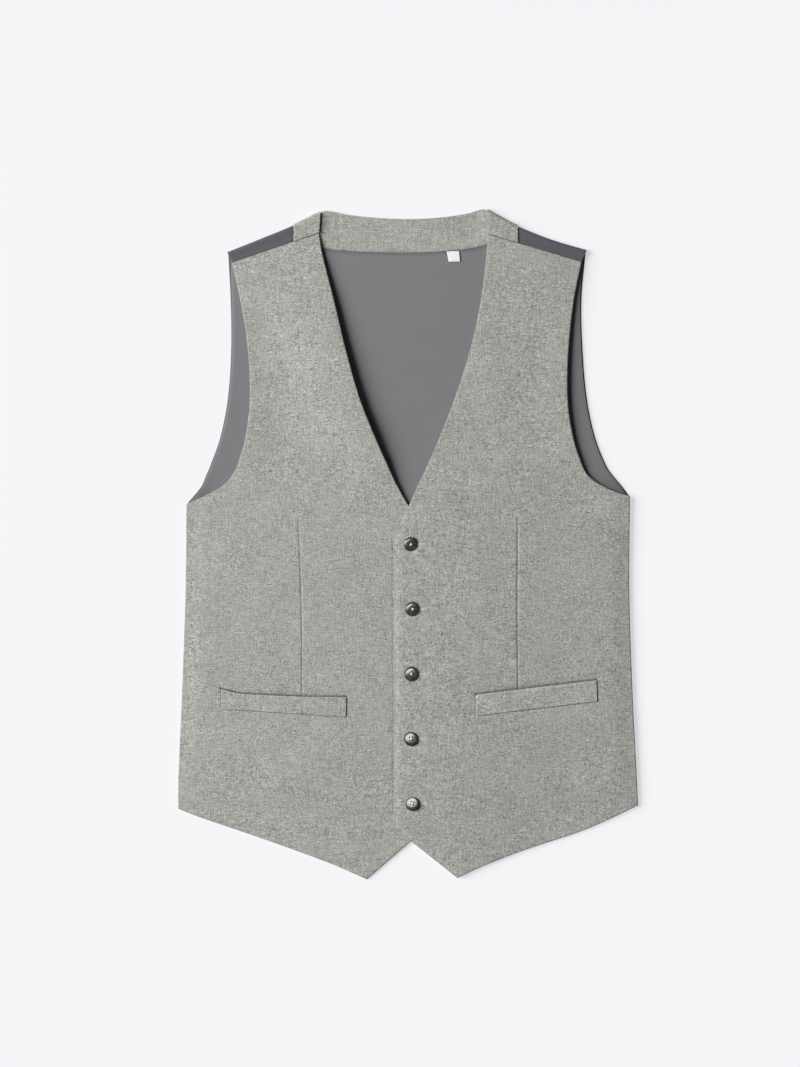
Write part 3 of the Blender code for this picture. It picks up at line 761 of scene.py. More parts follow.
def seam_relief(side, welt, flat):
    """Troughs that seams press into a front, and the painted shade that darkens the cloth in and
    beside them.
    """
    points = flat.reshape(-1, 2)
    y = points[:, 1]
    away, _ = nearest(points, side.dart)
    run = side.dart_depth * fade(y - (DART_TOP - DART_RUN_OUT), DART_RUN_OUT)
    run = run * fade(DART_FOOT - y, DART_FOOT_RUN_OUT)
    relief = run * (DART_SWELL * bell(away - DART_SWELL_ASIDE, DART_SWELL_WIDTH)
                    - DART_PRESS.depth * bell(away, DART_PRESS.width))
    # seam is painted shade: the dart, the pocket's mouth and the cloth above it, the welt's sewn
    # rim and the lap's edge are darkened in colour.
    seam = DART_PRESS.shade * run * bell(away, DART_PRESS.shade_width)
    top = smooth_line(welt.top, even(24))
    away, share = nearest(points, top + (0.0, MOUTH_ABOVE))
    bow = 0.35 + 0.65 * np.sin(math.pi * share)
    bow = bow * fade(np.interp(points[:, 0], *ordered(top)) - y, 3)
    relief -= MOUTH_PRESS.depth * bell(away, MOUTH_PRESS.width)
    relief -= MOUTH_SAG.depth * bow * bell(away, MOUTH_SAG.width)
    seam = np.maximum(seam, MOUTH_PRESS.shade * bell(away, MOUTH_PRESS.shade_width))
    seam = np.maximum(seam, MOUTH_SAG.shade * bow * bell(away, MOUTH_SAG.shade_width))
    ends = [np.array((welt.top[i], welt.bottom[i])) for i in (0, -1)]
    pressed = [(path, WELT_PRESS, share) for path, share in
               zip((smooth_line(welt.bottom, even(8)), *ends), WELT_DEPTHS)]
    if side is RIGHT:
        lap = np.array((LEFT.cutaway_top, LEFT.break_point)) - (LAP_ASIDE, 0)
        pressed.append((lap, LAP_PRESS, 1.0))
    for path, press, share in pressed:
        away, _ = nearest(points, path)
        relief -= press.depth * share * bell(away, press.width)
        seam = np.maximum(seam, press.shade * share * bell(away, press.shade_width))
    return relief.reshape(flat.shape[:2]), seam.reshape(flat.shape[:2])


def outline(flat):
    """The plan points round the rim of a grid."""
    return np.vstack([flat[0], flat[1:, -1], flat[-1, ::-1][1:], flat[::-1, 0][1:]])


def edge_distance(flat, reach=8):
    """Distance to the grid's outline for the points in its outer rows, and a large one inside."""
    border = np.ones(flat.shape[:2], bool)
    border[reach:-reach, reach:-reach] = False
    distance = np.full(flat.shape[:2], 99.0)
    distance[border] = nearest(flat[border], outline(flat))[0]
    return distance


EDGE_PAINTED_SHADE = 0.42          # painted shade along every edge of a front, darkest at the rim, that dims the light its rounded edge catches
EDGE_WIDTH = 1.4
LAP_THINNING = 0.9         # the left front's turned neck edge is pressed thinner, over this width
LAP_THIN_WIDTH = 7.0
CREASE_FREE = 8.0          # no crease comes this close to an edge


def build_front(side, welt, crease_table, sizes, material):
    """One front: its wall, its dart, its pocket mouth and its soft creases."""
    flat, inner, outer = front_plan(side, welt, sizes.cell)
    from_front = np.linalg.norm(flat - inner[:, None], axis=2)
    from_side = np.linalg.norm(flat - outer[:, None], axis=2)
    bend_hem(side, flat)
    height = front_heights(side, flat, from_front, from_side)
    wall = np.full_like(height, sizes.wool_wall)
    if side is LEFT:
        wall -= LAP_THINNING * fade(from_front, LAP_THIN_WIDTH) * fade(flat[..., 1] - 5, 30)
    else:
        flat, height, wall = flat[:, ::-1], height[:, ::-1], wall[:, ::-1]
    relief, seam = seam_relief(side, welt, flat)
    edge = edge_distance(flat)
    soft = creases(flat, crease_table) * (1 - fade(edge, CREASE_FREE))
    if side is LEFT:
        for x, y in button_line():
            soft -= DIMPLE_DEPTH * bell(np.hypot(flat[..., 0] - x, flat[..., 1] - y), DIMPLE_WIDTH)
    made = make_object(side.name + "_front", shell_mesh(flat, height, wall, edge, relief + soft))
    # Painted shade: the dart, the pocket mouth, the welt's rim, the lap's edge and every edge of
    # the front are darkened in colour.
    store_painted_shade(made.data, np.maximum(seam, EDGE_PAINTED_SHADE * fade(edge, EDGE_WIDTH)))
    finish_piece(made, material, "wool", "front_" + side.name)
    return surface_of(flat, height + wall + soft)


def ruled(bottom, top, up):
    """Rows between two lines, and how far up each point lies, as a share."""
    flat = bottom[None] * (1 - up[:, None, None]) + top[None] * up[:, None, None]
    return flat, np.broadcast_to(up[:, None], flat.shape[:2])


WELT_LENGTH = 125.0
WELT_HEIGHT = 21.0
WELT_LIFT = 0.12           # the welt stands off the front by this, and by more at its mouth
MOUTH_LIFT = 0.45
MOUTH_LIFT_REACH = 7.0
WELT_STITCHED = 2.0        # its rim is sewn down, this far in


def build_welt(welt, node, surface, sizes, material):
    """A pocket welt: sewn down at its foot and ends, standing off a little at its mouth."""
    along = marks(WELT_LENGTH, 2.5, start=True, end=True)
    up = marks(WELT_HEIGHT, 1.6, start=True, end=True)
    flat, share = ruled(smooth_line(welt.bottom, along), smooth_line(welt.top, along), up)
    if flat[0, 0, 0] > flat[0, -1, 0]:
        flat = flat[:, ::-1]
    edge = edge_distance(flat, 7)
    away = nearest(flat.reshape(-1, 2), outline(flat))[0].reshape(edge.shape)
    free = fade(WELT_STITCHED - away, WELT_STITCHED)
    lift = WELT_LIFT + MOUTH_LIFT * fade((1 - share) * WELT_HEIGHT, MOUTH_LIFT_REACH) * free
    height = heights_on(surface, flat) + lift
    made = make_object(welt.name, shell_mesh(flat, height, sizes.welt_wall, edge, 0 * height))
    return finish_piece(made, material, "wool", node)


# ---------------------------------------------------------------- back, lining and neck

def fold_line(side, fractions, inset):
    """Points along the shoulder fold, from the neck outwards, moved into the garment."""
    share = np.asarray(fractions, float)[:, None]
    at_neck = np.subtract(side.neck_seam, side.fold[0])
    at_arm = np.subtract(side.shoulder_seam, side.fold[-1])
    inward = at_neck / np.linalg.norm(at_neck) * (1 - share)
    inward = inward + at_arm / np.linalg.norm(at_arm) * share
    return smooth_line(side.fold, fractions) + inward * inset


def seam_line(side, fractions, clearance):
    """The front shoulder seam, from the neck outwards, moved towards the fold."""
    start, end = np.array(side.neck_seam), np.array(side.shoulder_seam)
    run = end - start
    away = np.array((side.inwards * run[1], -side.inwards * run[0])) / np.linalg.norm(run)
    share = np.asarray(fractions)[:, None]
    return start * (1 - share) + end * share + away * clearance


def satin_shares(side, steps):
    """Fractions along the shoulder, from the neckband's end to the armhole."""
    start = side.band_share + BAND_GAP
    return start + (1 - start) * even(steps)


def raised(flat, height):
    """A plan grid with its heights."""
    return np.dstack([flat, np.broadcast_to(height, flat.shape[:2])])


def turn_over(side, fractions):
    """Rows that carry cloth from the table, round the fold and on to the seam on top."""
    edge = fold_line(side, fractions, 0)
    floor_row = fold_line(side, fractions, FOLD_RADIUS)
    end = seam_line(side, fractions, SEAM_CLEARANCE)
    rows = []
    for angle in np.linspace(0, math.pi, FOLD_STEPS + 1):
        row = floor_row + (edge - floor_row) * math.sin(angle)
        rows.append(np.column_stack([row, np.full(len(row), FOLD_RADIUS * (1 - math.cos(angle)))]))
    for share in even(5)[1:]:
        row = floor_row * (1 - share) + end * share
        height = 2 * FOLD_RADIUS - FOLD_SAG * math.sin(math.pi * share)
        rows.append(np.column_stack([row, np.full(len(row), height)]))
    return np.array(rows)


def neck_seam(inset, aside, steps):
    """The seam below the neckband, from the right shoulder fold to the left one."""
    first, last = (fold_line(side, [side.band_share + BAND_GAP / 2], inset)[0]
                   for side in (RIGHT, LEFT))
    places = [first, RIGHT.neck_turn] + [(row.x, row.seam) for row in NECK_SECTIONS]
    line = smooth_line(places + [LEFT.neck_turn, last], even(steps))
    run = np.gradient(line, axis=0)
    normal = np.column_stack([-run[:, 1], run[:, 0]]) / np.linalg.norm(run, axis=1)[:, None]
    return line + normal * aside


def neck_edge(first, last, steps):
    """The turned edge of the back neck, from one given end to the other."""
    places = [first, RIGHT.neck_corner] + [(row.x, row.edge) for row in NECK_SECTIONS]
    return smooth_line(places + [LEFT.neck_corner, last], even(steps))


def side_edge(corner, seam_places, underarm, arm_places, tip):
    """One outer edge of the back or the lining: up the side seam and round the armhole."""
    return chain(smooth_line([corner] + seam_places + [underarm], even(60)),
                 smooth_line([underarm] + arm_places + [tip], even(56)))


SEAM_INSET = 1.0           # the back ends this far inside the fronts' sides
LINING_SIDE_INSET = 15.0
LINING_HEM_INSET = 14.0
LINING_ARM_INSET = 1.2
LINING_UNDERARM_INSET = 2.6
LINING_TURN_Y = 5.0        # below the armhole, where the lining is at its side inset again
LINING_TURN_INSET = 13.0
LINING_FOLD_INSET = 6.5
FACING_FOLD_INSET = 3.2    # the facing reaches up into the shoulder fold
FACING_RIM_RISE = 0.75     # and rises there by this, over this width
FACING_RIM_WIDTH = 7.0
SEAM_SHADE_WIDTH = 0.9     # of the painted shade along the neck seam, and how dark it is painted in the lining and the facing
LINING_SEAM_SHADE = 0.34
FACING_SEAM_SHADE = 0.22
UNDERARM_SHADE = 0.3       # the same painted shade for the lining's corner under the arm, where the front's shade falls
UNDERARM_SHADE_WIDTH = 20.0


def build_back(sizes, material):
    """The satin back: flat on the table, turned over both shoulders to the front seams."""
    right_turn, left_turn = (turn_over(side, satin_shares(side, 20)) for side in (RIGHT, LEFT))
    neck = neck_seam(FOLD_RADIUS, -SEAM_CLEARANCE, 60)
    neck[0], neck[-1] = right_turn[0, 0, :2], left_turn[0, 0, :2]
    top = chain(right_turn[0, ::-1, :2], neck, left_turn[0, :, :2])
    hem = smooth_line((RIGHT.back_corner, BACK_HEM_MIDDLE, LEFT.back_corner), even(len(top) - 1))
    edges = []
    for side, tip in ((RIGHT, top[0]), (LEFT, top[-1])):
        seam = [(x + side.inwards * SEAM_INSET, y) for x, y in column(SIDE_SECTIONS, side.name)]
        arm = column(SECTIONS, "back_" + side.name)
        edges.append(side_edge(side.back_corner, seam, side.back_underarm, arm, tip))
    flat = patch(hem, top, *edges)
    dents = np.zeros(flat.shape[:2])
    dents[3:-3, 3:-3] = creases(flat, BACK_CREASES)[3:-3, 3:-3]
    grids = [raised(flat, dents), right_turn, left_turn]
    made = make_object("back_satin", sheet_mesh(grids, sizes.satin_wall, False, 0.3))
    return finish_piece(made, material, "satin", "back")


def build_lining(sizes, material):
    """The back lining: it lies on the back, a little short of every edge."""
    shoulders, edges = [], []
    for side in (RIGHT, LEFT):
        arm_inset = side.inwards * LINING_ARM_INSET
        shoulder = fold_line(side, satin_shares(side, 16), LINING_FOLD_INSET)
        shoulder[:, 0] += arm_inset * even(16)
        inset = side.inwards * LINING_SIDE_INSET
        corner = (side.back_corner[0] + inset, side.back_corner[1] + LINING_HEM_INSET)
        seam = [(x + inset, y) for x, y in column(SIDE_SECTIONS[1:], side.name)]
        seam += [(side.back_underarm[0] + side.inwards * LINING_TURN_INSET, LINING_TURN_Y)]
        underarm = (side.back_underarm[0] + side.inwards * LINING_UNDERARM_INSET,
                    side.back_underarm[1])
        arm = [(x + arm_inset, y) for x, y in column(SECTIONS, "back_" + side.name)]
        edges.append(side_edge(corner, seam, underarm, arm, shoulder[-1]))
        shoulders.append(shoulder)
    neck = neck_seam(LINING_FOLD_INSET, -SEAM_CLEARANCE, 70)
    neck[0], neck[-1] = shoulders[0][0], shoulders[1][0]
    top = chain(shoulders[0][::-1], neck, shoulders[1])
    hem_middle = (BACK_HEM_MIDDLE[0], BACK_HEM_MIDDLE[1] + LINING_HEM_INSET)
    hem = smooth_line((edges[0][0], hem_middle, edges[1][0]), even(len(top) - 1))
    flat = patch(hem, top, *edges)
    height = sizes.satin_wall + GAP + 0.9 * creases(flat, BACK_CREASES)
    mesh = sheet_mesh([raised(flat, height)], sizes.satin_wall, True, 0.3)
    made = make_object("back_lining_satin", mesh)
    # Painted shade along the neck seam and in both corners under the arms.
    painted_shades = [(neck, SEAM_SHADE_WIDTH, LINING_SEAM_SHADE)]
    for side in (RIGHT, LEFT):
        inside = np.add(side.back_underarm, (side.inwards * 8, 4))
        corner = np.array((side.back_underarm, inside))
        painted_shades.append((corner, UNDERARM_SHADE_WIDTH, UNDERARM_SHADE))
    paint_shade_near(made.data, *painted_shades)
    return finish_piece(made, material, "lining", "back_lining")


def build_neckband(sizes, material):
    """The outer neckband: round the back neck and over both shoulders."""
    right_turn, left_turn = (turn_over(side, side.band_share * even(12)) for side in (RIGHT, LEFT))
    seam = neck_seam(FOLD_RADIUS, 0, 80)
    seam[0], seam[-1] = right_turn[0, -1, :2], left_turn[0, -1, :2]
    edge = neck_edge(right_turn[0, 0, :2], left_turn[0, 0, :2], 80)
    flat = patch(right_turn[0, :, :2], left_turn[0, :, :2], edge, seam)
    grids = [raised(flat, 0), right_turn, left_turn]
    made = make_object("neckband_wool", sheet_mesh(grids, sizes.band_wall, False, 0.4))
    return finish_piece(made, material, "wool", "neckband")


def build_facing(sizes, material):
    """The neck facing: inside of the back neck, above the lining."""
    ends = [fold_line(side, side.band_share * even(14), FACING_FOLD_INSET)
            for side in (RIGHT, LEFT)]
    seam = neck_seam(LINING_FOLD_INSET, 0, 90)
    seam[0], seam[-1] = ends[0][-1], ends[1][-1]
    flat = patch(*ends, neck_edge(ends[0][0], ends[1][0], 90), seam)
    height = np.full(flat.shape[:2], sizes.band_wall + GAP)
    for side in (RIGHT, LEFT):
        rim = groove(flat.reshape(-1, 2), (side.fold[0], side.neck_seam), FACING_RIM_WIDTH)
        height += FACING_RIM_RISE * rim.reshape(height.shape)
    mesh = sheet_mesh([raised(flat, height)], sizes.band_wall, True, 0.45)
    made = make_object("neck_facing_wool", mesh)
    # Painted shade along its seam with the lining.
    paint_shade_near(made.data, (seam, SEAM_SHADE_WIDTH, FACING_SEAM_SHADE))
    return finish_piece(made, material, "wool", "neck_facing")


LABEL_WALL = 0.7
LABEL_LIFT = 0.05
LABEL_CURL = 0.25          # its free end lifts by this


def build_label(sizes, material):
    """The blank size label: a folded tape that hangs from the facing's seam."""
    across = marks(12.5, 1.0, start=True, end=True)
    up = marks(11, 1.0, start=True, end=True)
    flat, share = ruled(smooth_line(LABEL_BOTTOM, across), smooth_line(LABEL_TOP, across), up)
    curl = LABEL_CURL * (1 - share) ** 2 * (1 + 0.5 * np.sin(5 * across))[None]
    height = 2 * sizes.satin_wall + 2 * GAP + LABEL_LIFT + curl
    mesh = shell_mesh(flat, height, LABEL_WALL, edge_distance(flat, 7), 0 * height)
    return finish_piece(make_object("size_label", mesh), material, "tape", "label")


# ---------------------------------------------------------------- buttons and buttonholes

def turned_mesh(profile, sides):
    """A closed body turned from (radius, height) places, whose first and last radius is 0."""
    angles = np.arange(sides) * 2 * math.pi / sides
    ring = np.column_stack([np.cos(angles), np.sin(angles)])
    rings = [np.column_stack([ring * radius, np.full(sides, z)]) for radius, z in profile[1:-1]]
    points = np.vstack(rings + [[(0, 0, profile[0][1])], [(0, 0, profile[-1][1])]]) * MM
    index = np.arange(len(rings) * sides).reshape(len(rings), sides)
    turned = np.concatenate([index, index[:, :1]], axis=1)
    faces = quads(turned).tolist()
    foot, head = len(rings) * sides, len(rings) * sides + 1
    for i in range(sides):
        after = (i + 1) % sides
        faces.append([int(index[0, after]), int(index[0, i]), foot])
        faces.append([int(index[-1, i]), int(index[-1, after]), head])
    mesh = bpy.data.meshes.new("turned")
    mesh.from_pydata(points.tolist(), [], faces)
    return mesh


# A low dome that breaks into a steep slope, down to a thin rim.
BUTTON_PROFILE = (
    (0, 0.0), (5.2, 0.0), (6.2, 0.03), (7.0, 0.12), (7.45, 0.27), (7.58, 0.42), (7.5, 0.56),
    (7.2, 0.86), (6.8, 1.26), (6.4, 1.65), (6.1, 1.9), (5.8, 2.08), (5.5, 2.18), (5.0, 2.28),
    (4.2, 2.4), (3.6, 2.46), (3.0, 2.5), (2.0, 2.56), (1.0, 2.59), (0, 2.6),
)
BUTTON_SIDES = 72
HORN_SHARP = 40.0          # degrees, over which an edge stays sharp
BUTTON_LIFT = 0.1          # the button stands off the cloth by this
HOLE_RADIUS = 0.9
HOLE_OFFSET = 2.0
THREAD_RADIUS = 0.27
THREAD_ASIDE = 0.3         # each loop is two strands, this far beside its middle
THREAD_TOP = 2.7           # height of the lower loop where the two loops cross
THREAD_STEP = 0.4          # and how much higher the other one goes


def button_mesh():
    """The turned button with its four thread holes cut through."""
    disc = in_scene("disc", turned_mesh(BUTTON_PROFILE, BUTTON_SIDES))
    shape = bmesh.new()
    for quarter in range(4):
        angle = math.pi / 2 * quarter
        place = Vector((HOLE_OFFSET * math.cos(angle), HOLE_OFFSET * math.sin(angle), 1)) * MM
        bmesh.ops.create_cone(
            shape, cap_ends=True, segments=20, radius1=HOLE_RADIUS * MM, radius2=HOLE_RADIUS * MM,
            depth=8 * MM, matrix=Matrix.Translation(place))
    mesh = bpy.data.meshes.new("pins")
    shape.to_mesh(mesh)
    shape.free()
    pins = in_scene("pins", mesh)
    cut = disc.modifiers.new("holes", "BOOLEAN")
    cut.operation = "DIFFERENCE"
    cut.object = pins
    mesh = plain_mesh(disc)
    bpy.data.objects.remove(pins)
    return mesh


def thread_mesh():
    """Two loops of thread that cross in the middle of a button, from hole to hole."""
    line = bpy.data.curves.new("thread", "CURVE")
    line.dimensions = "3D"
    line.bevel_depth = THREAD_RADIUS * MM
    line.bevel_resolution = 3
    line.use_fill_caps = True
    near = HOLE_OFFSET - HOLE_RADIUS + 0.2
    for number, way in enumerate((Vector((1, 0, 0)), Vector((0, 1, 0)))):
        top = THREAD_TOP + THREAD_STEP * number
        places = ((-near - 0.3, 0.5), (-near, 2.25), (0, top), (near, 2.25), (near + 0.3, 0.5))
        for strand in (-THREAD_ASIDE, THREAD_ASIDE):
            aside = Vector((-way.y, way.x, 0)) * strand
            spline = line.splines.new("BEZIER")
            spline.bezier_points.add(len(places) - 1)
            for point, (along, z) in zip(spline.bezier_points, places):
                point.co = (way * along + aside + Vector((0, 0, z))) * MM
                point.handle_left_type = point.handle_right_type = "AUTO"
    return plain_mesh(in_scene("thread", line))


def button_places(surface):
    """The matrix of each button on the left front."""
    places = []
    for (x, y), button in zip(button_line(), BUTTONS):
        turns = ((button.across, "Y"), (-button.up, "X"), (button.turn, "Z"))
        across, up, turn = (Matrix.Rotation(math.radians(angle), 4, axis) for angle, axis in turns)
        place = Vector((x, y, height_on(surface, x, y) + BUTTON_LIFT)) * MM
        places.append(Matrix.Translation(place) @ (across @ up @ turn))
    return places


def joined(meshes):
    """One mesh out of several."""
    shape = bmesh.new()
    for mesh in meshes:
        shape.from_mesh(mesh)
    whole = bpy.data.meshes.new("joined")
    shape.to_mesh(whole)
    shape.free()
    return whole


# The stitches of a buttonhole, in two rows from under the button to its outer end.
HOLE_START = -4.0          # where a row starts, from the line of the buttons
HOLE_END = 14.6            # and ends, from the middle of its own button
HOLE_STRAY = 0.1           # of the button's own stray, that a hole strays up
ROW_ASIDE = 0.55
ROW_PLACES = 24
UNEVENNESS = 0.2           # the smallest stitch is smaller than the largest by this share
STITCH = {"Pitch": 0.48, "Length": 0.85, "Width": 0.5}


def stitch_tree(material):
    """Geometry nodes that lay stitches side by side along a path, each a little uneven."""
    tree = bpy.data.node_groups.new("Stitch row", "GeometryNodeTree")
    face = tree.interface
    face.new_socket("Geometry", in_out="INPUT", socket_type="NodeSocketGeometry")
    for name in ("Pitch", "Length", "Width", "Unevenness"):
        socket = face.new_socket(name, in_out="INPUT", socket_type="NodeSocketFloat")
        socket.default_value = UNEVENNESS if name == "Unevenness" else STITCH[name] * MM
    face.new_socket("Geometry", in_out="OUTPUT", socket_type="NodeSocketGeometry")
    source = add(tree, "NodeGroupInput").outputs
    path = add(tree, "GeometryNodeMeshToCurve", inputs={"Mesh": source["Geometry"]})
    dotted = add(tree, "GeometryNodeResampleCurve", {"mode": "LENGTH"}, {
        "Curve": path.outputs[0], "Length": source["Pitch"]})
    bead = add(tree, "GeometryNodeMeshUVSphere", inputs={"Segments": 8, "Rings": 6, "Radius": 0.5})
    size = add(tree, "ShaderNodeCombineXYZ", inputs={
        "X": source["Width"], "Y": source["Length"], "Z": source["Width"]})
    shaped = add(tree, "GeometryNodeTransform", inputs={
        "Geometry": bead.outputs["Mesh"], "Scale": size.outputs[0]})
    tangent = add(tree, "GeometryNodeInputTangent")
    lined = add(tree, "FunctionNodeAlignRotationToVector", {"axis": "X"}, {
        "Vector": tangent.outputs[0]})
    least = add(tree, "ShaderNodeMath", {"operation": "SUBTRACT"}, {
        0: 1.0, 1: source["Unevenness"]})
    vary = add(tree, "FunctionNodeRandomValue", {"data_type": "FLOAT"}, {
        2: least.outputs[0], 3: 1.0, "Seed": 7})
    placed = add(tree, "GeometryNodeInstanceOnPoints", inputs={
        "Points": dotted.outputs[0], "Instance": shaped.outputs[0], "Rotation": lined.outputs[0],
        "Scale": vary.outputs[1]})
    real = add(tree, "GeometryNodeRealizeInstances", inputs={0: placed.outputs[0]})
    dyed = add(tree, "GeometryNodeSetMaterial", inputs={
        "Geometry": real.outputs[0], "Material": material})
    add(tree, "NodeGroupOutput", inputs={0: dyed.outputs[0]})
    return tree


def stitch_rows(name, paths, tree, sizes_mm):
    """Runs the stitch tree along paths in millimetres, and keeps the result as a plain mesh."""
    points = np.vstack(paths) * MM
    edges, start = [], 0
    for path in paths:
        edges += [(start + i, start + i + 1) for i in range(len(path) - 1)]
        start += len(path)
    mesh = bpy.data.meshes.new(name)
    mesh.from_pydata(points.tolist(), edges, [])
    made = in_scene(name, mesh)
    nodes = made.modifiers.new("stitches", "NODES")
    nodes.node_group = tree
    for item in tree.interface.items_tree:
        if item.in_out == "INPUT" and item.name in sizes_mm:
            nodes[item.identifier] = sizes_mm[item.name] * MM
    return make_object(name, plain_mesh(made))


# ---------------------------------------------------------------- add-on

class WaistcoatSizes(bpy.types.PropertyGroup):
    """Sizes that a user would change, in millimetres."""
    cell: bpy.props.FloatProperty(
        name="Cloth cell", description="Distance between the grid lines of the fronts", default=3.0,
        min=1.5, max=20.0)
    wool_wall: bpy.props.FloatProperty(
        name="Front thickness", description="Flannel, canvas and lining pressed together",
        default=2.2)
    band_wall: bpy.props.FloatProperty(
        name="Band thickness", description="Neckband and neck facing", default=1.2)
    welt_wall: bpy.props.FloatProperty(
        name="Welt thickness", description="Pocket welts, as they stand off the fronts",
        default=0.85)
    satin_wall: bpy.props.FloatProperty(
        name="Satin thickness", description="Back and back lining", default=1.0)


def colour_property(name, description, code):
    """A colour that a user would change."""
    return bpy.props.FloatVectorProperty(
        name=name, description=description, default=linear(code), subtype="COLOR", size=3,
        min=0, max=1)


class WaistcoatColours(bpy.types.PropertyGroup):
    """Colours of the cloths and the trimmings."""
    wool: colour_property("Wool", "The middle tone of the flannel", "#A7A8A2")
    wool_dark: colour_property("Dark fibres", "The darkest flecks of the flannel", "#74756F")
    wool_light: colour_property("Light fibres", "The lightest flecks of the flannel", "#CFD0C8")
    satin: colour_property("Satin", "The back's outer cloth", "#5F5E64")
    lining: colour_property("Lining", "The back's inner cloth", "#7E7D80")
    tape: colour_property("Label", "The blank size label", "#FAFAFC")
    horn: colour_property("Horn", "The buttons", "#1B1B1E")
    horn_cloud: colour_property("Horn clouds", "Paler clouds in the horn", "#3A3836")
    silk: colour_property("Buttonhole silk", "The buttonhole thread", "#F4F4EE")
    thread: colour_property("Button thread", "The thread that holds the buttons", "#EDEDE8")
    table: colour_property("Table", "The table that it lies on", "#F5F4F7")


def settings(context):
    """The sizes and the colours, as the panel shows them."""
    return context.scene.waistcoat_sizes, context.scene.waistcoat_colours


built = {}                 # the fronts' surfaces, for what lies on them


class WAISTCOAT_OT_fronts(bpy.types.Operator):
    """Makes both wool fronts, with their darts and pocket mouths"""
    bl_idname = "waistcoat.fronts"
    bl_label = "Fronts"

    def execute(self, context):
        sizes, colours = settings(context)
        fronts = ((RIGHT, WELT_RIGHT, RIGHT_CREASES, (0, 0, 0)),
                  (LEFT, WELT_LEFT, LEFT_CREASES, (310, 170, 90)))
        for side, welt, table, offset in fronts:
            flannel = wool_flannel("wool_flannel_" + side.name, colours, offset=offset)
            built[side.name] = build_front(side, welt, table, sizes, flannel)
        return {"FINISHED"}


class WAISTCOAT_OT_pockets(bpy.types.Operator):
    """Makes the two pocket welts on the fronts"""
    bl_idname = "waistcoat.pockets"
    bl_label = "Pocket welts"

    def execute(self, context):
        sizes, colours = settings(context)
        for key, welt in (("right", WELT_RIGHT), ("left", WELT_LEFT)):
            flannel = wool_flannel(
                "wool_flannel_welt_" + key, colours, welt.turn, welt.tone, (70, 20, 5))
            build_welt(welt, "welt_" + key, built[key], sizes, flannel)
        return {"FINISHED"}


class WAISTCOAT_OT_back(bpy.types.Operator):
    """Makes the satin back and its lining"""
    bl_idname = "waistcoat.back"
    bl_label = "Back and lining"

    def execute(self, context):
        sizes, colours = settings(context)
        build_back(sizes, satin_weave("acetate_satin_back", colours.satin, 0.42, 0.16))
        build_lining(sizes, satin_weave("acetate_satin_lining", colours.lining, 0.5, 0.05))
        return {"FINISHED"}


class WAISTCOAT_OT_neck(bpy.types.Operator):
    """Makes the neckband and the neck facing"""
    bl_idname = "waistcoat.neck"
    bl_label = "Neckband and facing"

    def execute(self, context):
        sizes, colours = settings(context)
        build_neckband(sizes, wool_flannel(
            "wool_flannel_band", colours, turn=0.1, offset=(500, 40, 0)))
        build_facing(sizes, wool_flannel(
            "wool_flannel_facing", colours, turn=-0.06, offset=(700, 90, 0)))
        return {"FINISHED"}


class WAISTCOAT_OT_label(bpy.types.Operator):
    """Makes the blank size label"""
    bl_idname = "waistcoat.label"
    bl_label = "Size label"

    def execute(self, context):
        sizes, colours = settings(context)
        build_label(sizes, woven_tape("polyester_satin_tape", colours.tape))
        return {"FINISHED"}


class WAISTCOAT_OT_buttons(bpy.types.Operator):
    """Makes the horn buttons and the thread that holds them"""
    bl_idname = "waistcoat.buttons"
    bl_label = "Buttons"

    def execute(self, context):
        colours = settings(context)[1]
        horn = polished_horn("polished_horn", colours)
        body, thread = button_mesh(), thread_mesh()
        threads = []
        for number, place in enumerate(button_places(built["left"]), 1):
            mesh = body.copy()
            mesh.transform(place)
            made = make_object(f"horn_button_{number}", mesh)
            mesh.set_sharp_from_angle(angle=math.radians(HORN_SHARP))
            finish_piece(made, horn, "horn", f"button_{number}")
            strand = thread.copy()
            strand.transform(place)
            threads.append(strand)
        made = make_object("button_threads", joined(threads))
        finish_piece(made, sewing_silk("button_thread_silk", colours.thread), "wool")
        return {"FINISHED"}


class WAISTCOAT_OT_buttonholes(bpy.types.Operator):
    """Works the five buttonholes"""
    bl_idname = "waistcoat.buttonholes"
    bl_label = "Buttonholes"

    def execute(self, context):
        silk = sewing_silk("buttonhole_silk", settings(context)[1].silk)
        paths = []
        for (x, y), button in zip(button_line(), BUTTONS):
            xs = np.linspace(BUTTON_LINE_X + HOLE_START, x + HOLE_END, ROW_PLACES)
            for aside in (-ROW_ASIDE, ROW_ASIDE):
                ys = np.full(ROW_PLACES, y + aside + HOLE_STRAY * button.stray)
                zs = [height_on(built["left"], *place) + button.stitch_lift
                      for place in zip(xs, ys)]
                paths.append(np.column_stack([xs, ys, zs]))
        made = stitch_rows("buttonhole_stitches", paths, stitch_tree(silk), STITCH)
        finish_piece(made, silk, "wool")
        return {"FINISHED"}


class WAISTCOAT_OT_stage(bpy.types.Operator):
    """Sets the table, the lamps and the camera overhead"""
    bl_idname = "waistcoat.stage"
    bl_label = "Stage"

    def execute(self, context):
        make_table(settings(context)[1])
        make_lights()
        make_camera()
        return {"FINISHED"}


TABLE_HALF = 8.0           # lengths on the stage are metres
TABLE_DROP = 0.0002        # it lies just under the cloth
TABLE_DIFFUSE = 0.42
TABLE_GLOW = 0.622
TABLE_GLOW_ACROSS = 0.136  # more to the right, for each metre, because the softbox is farther
TABLE_GLOW_UP = -0.028
TABLE_REACH = 0.6
KEY_TURN = 11.0            # degrees from the left towards the top
KEY_RISE = 34.0            # degrees above the table
KEY_AWAY = 5.2
KEY_SIZE = 3.7
KEY_POWER = 470.0
GLOSS_PLACE = Vector((-1.0, 1.3, 3.6))
GLOSS_SIZE = 2.8
GLOSS_POWER = 230.0
ROOM_LIGHT = 0.06
ROOM_SEEN = 0.86
CAMERA_PLACE = (-0.0087, 0.0113, 3.0425)
CAMERA_LENS = 100.0


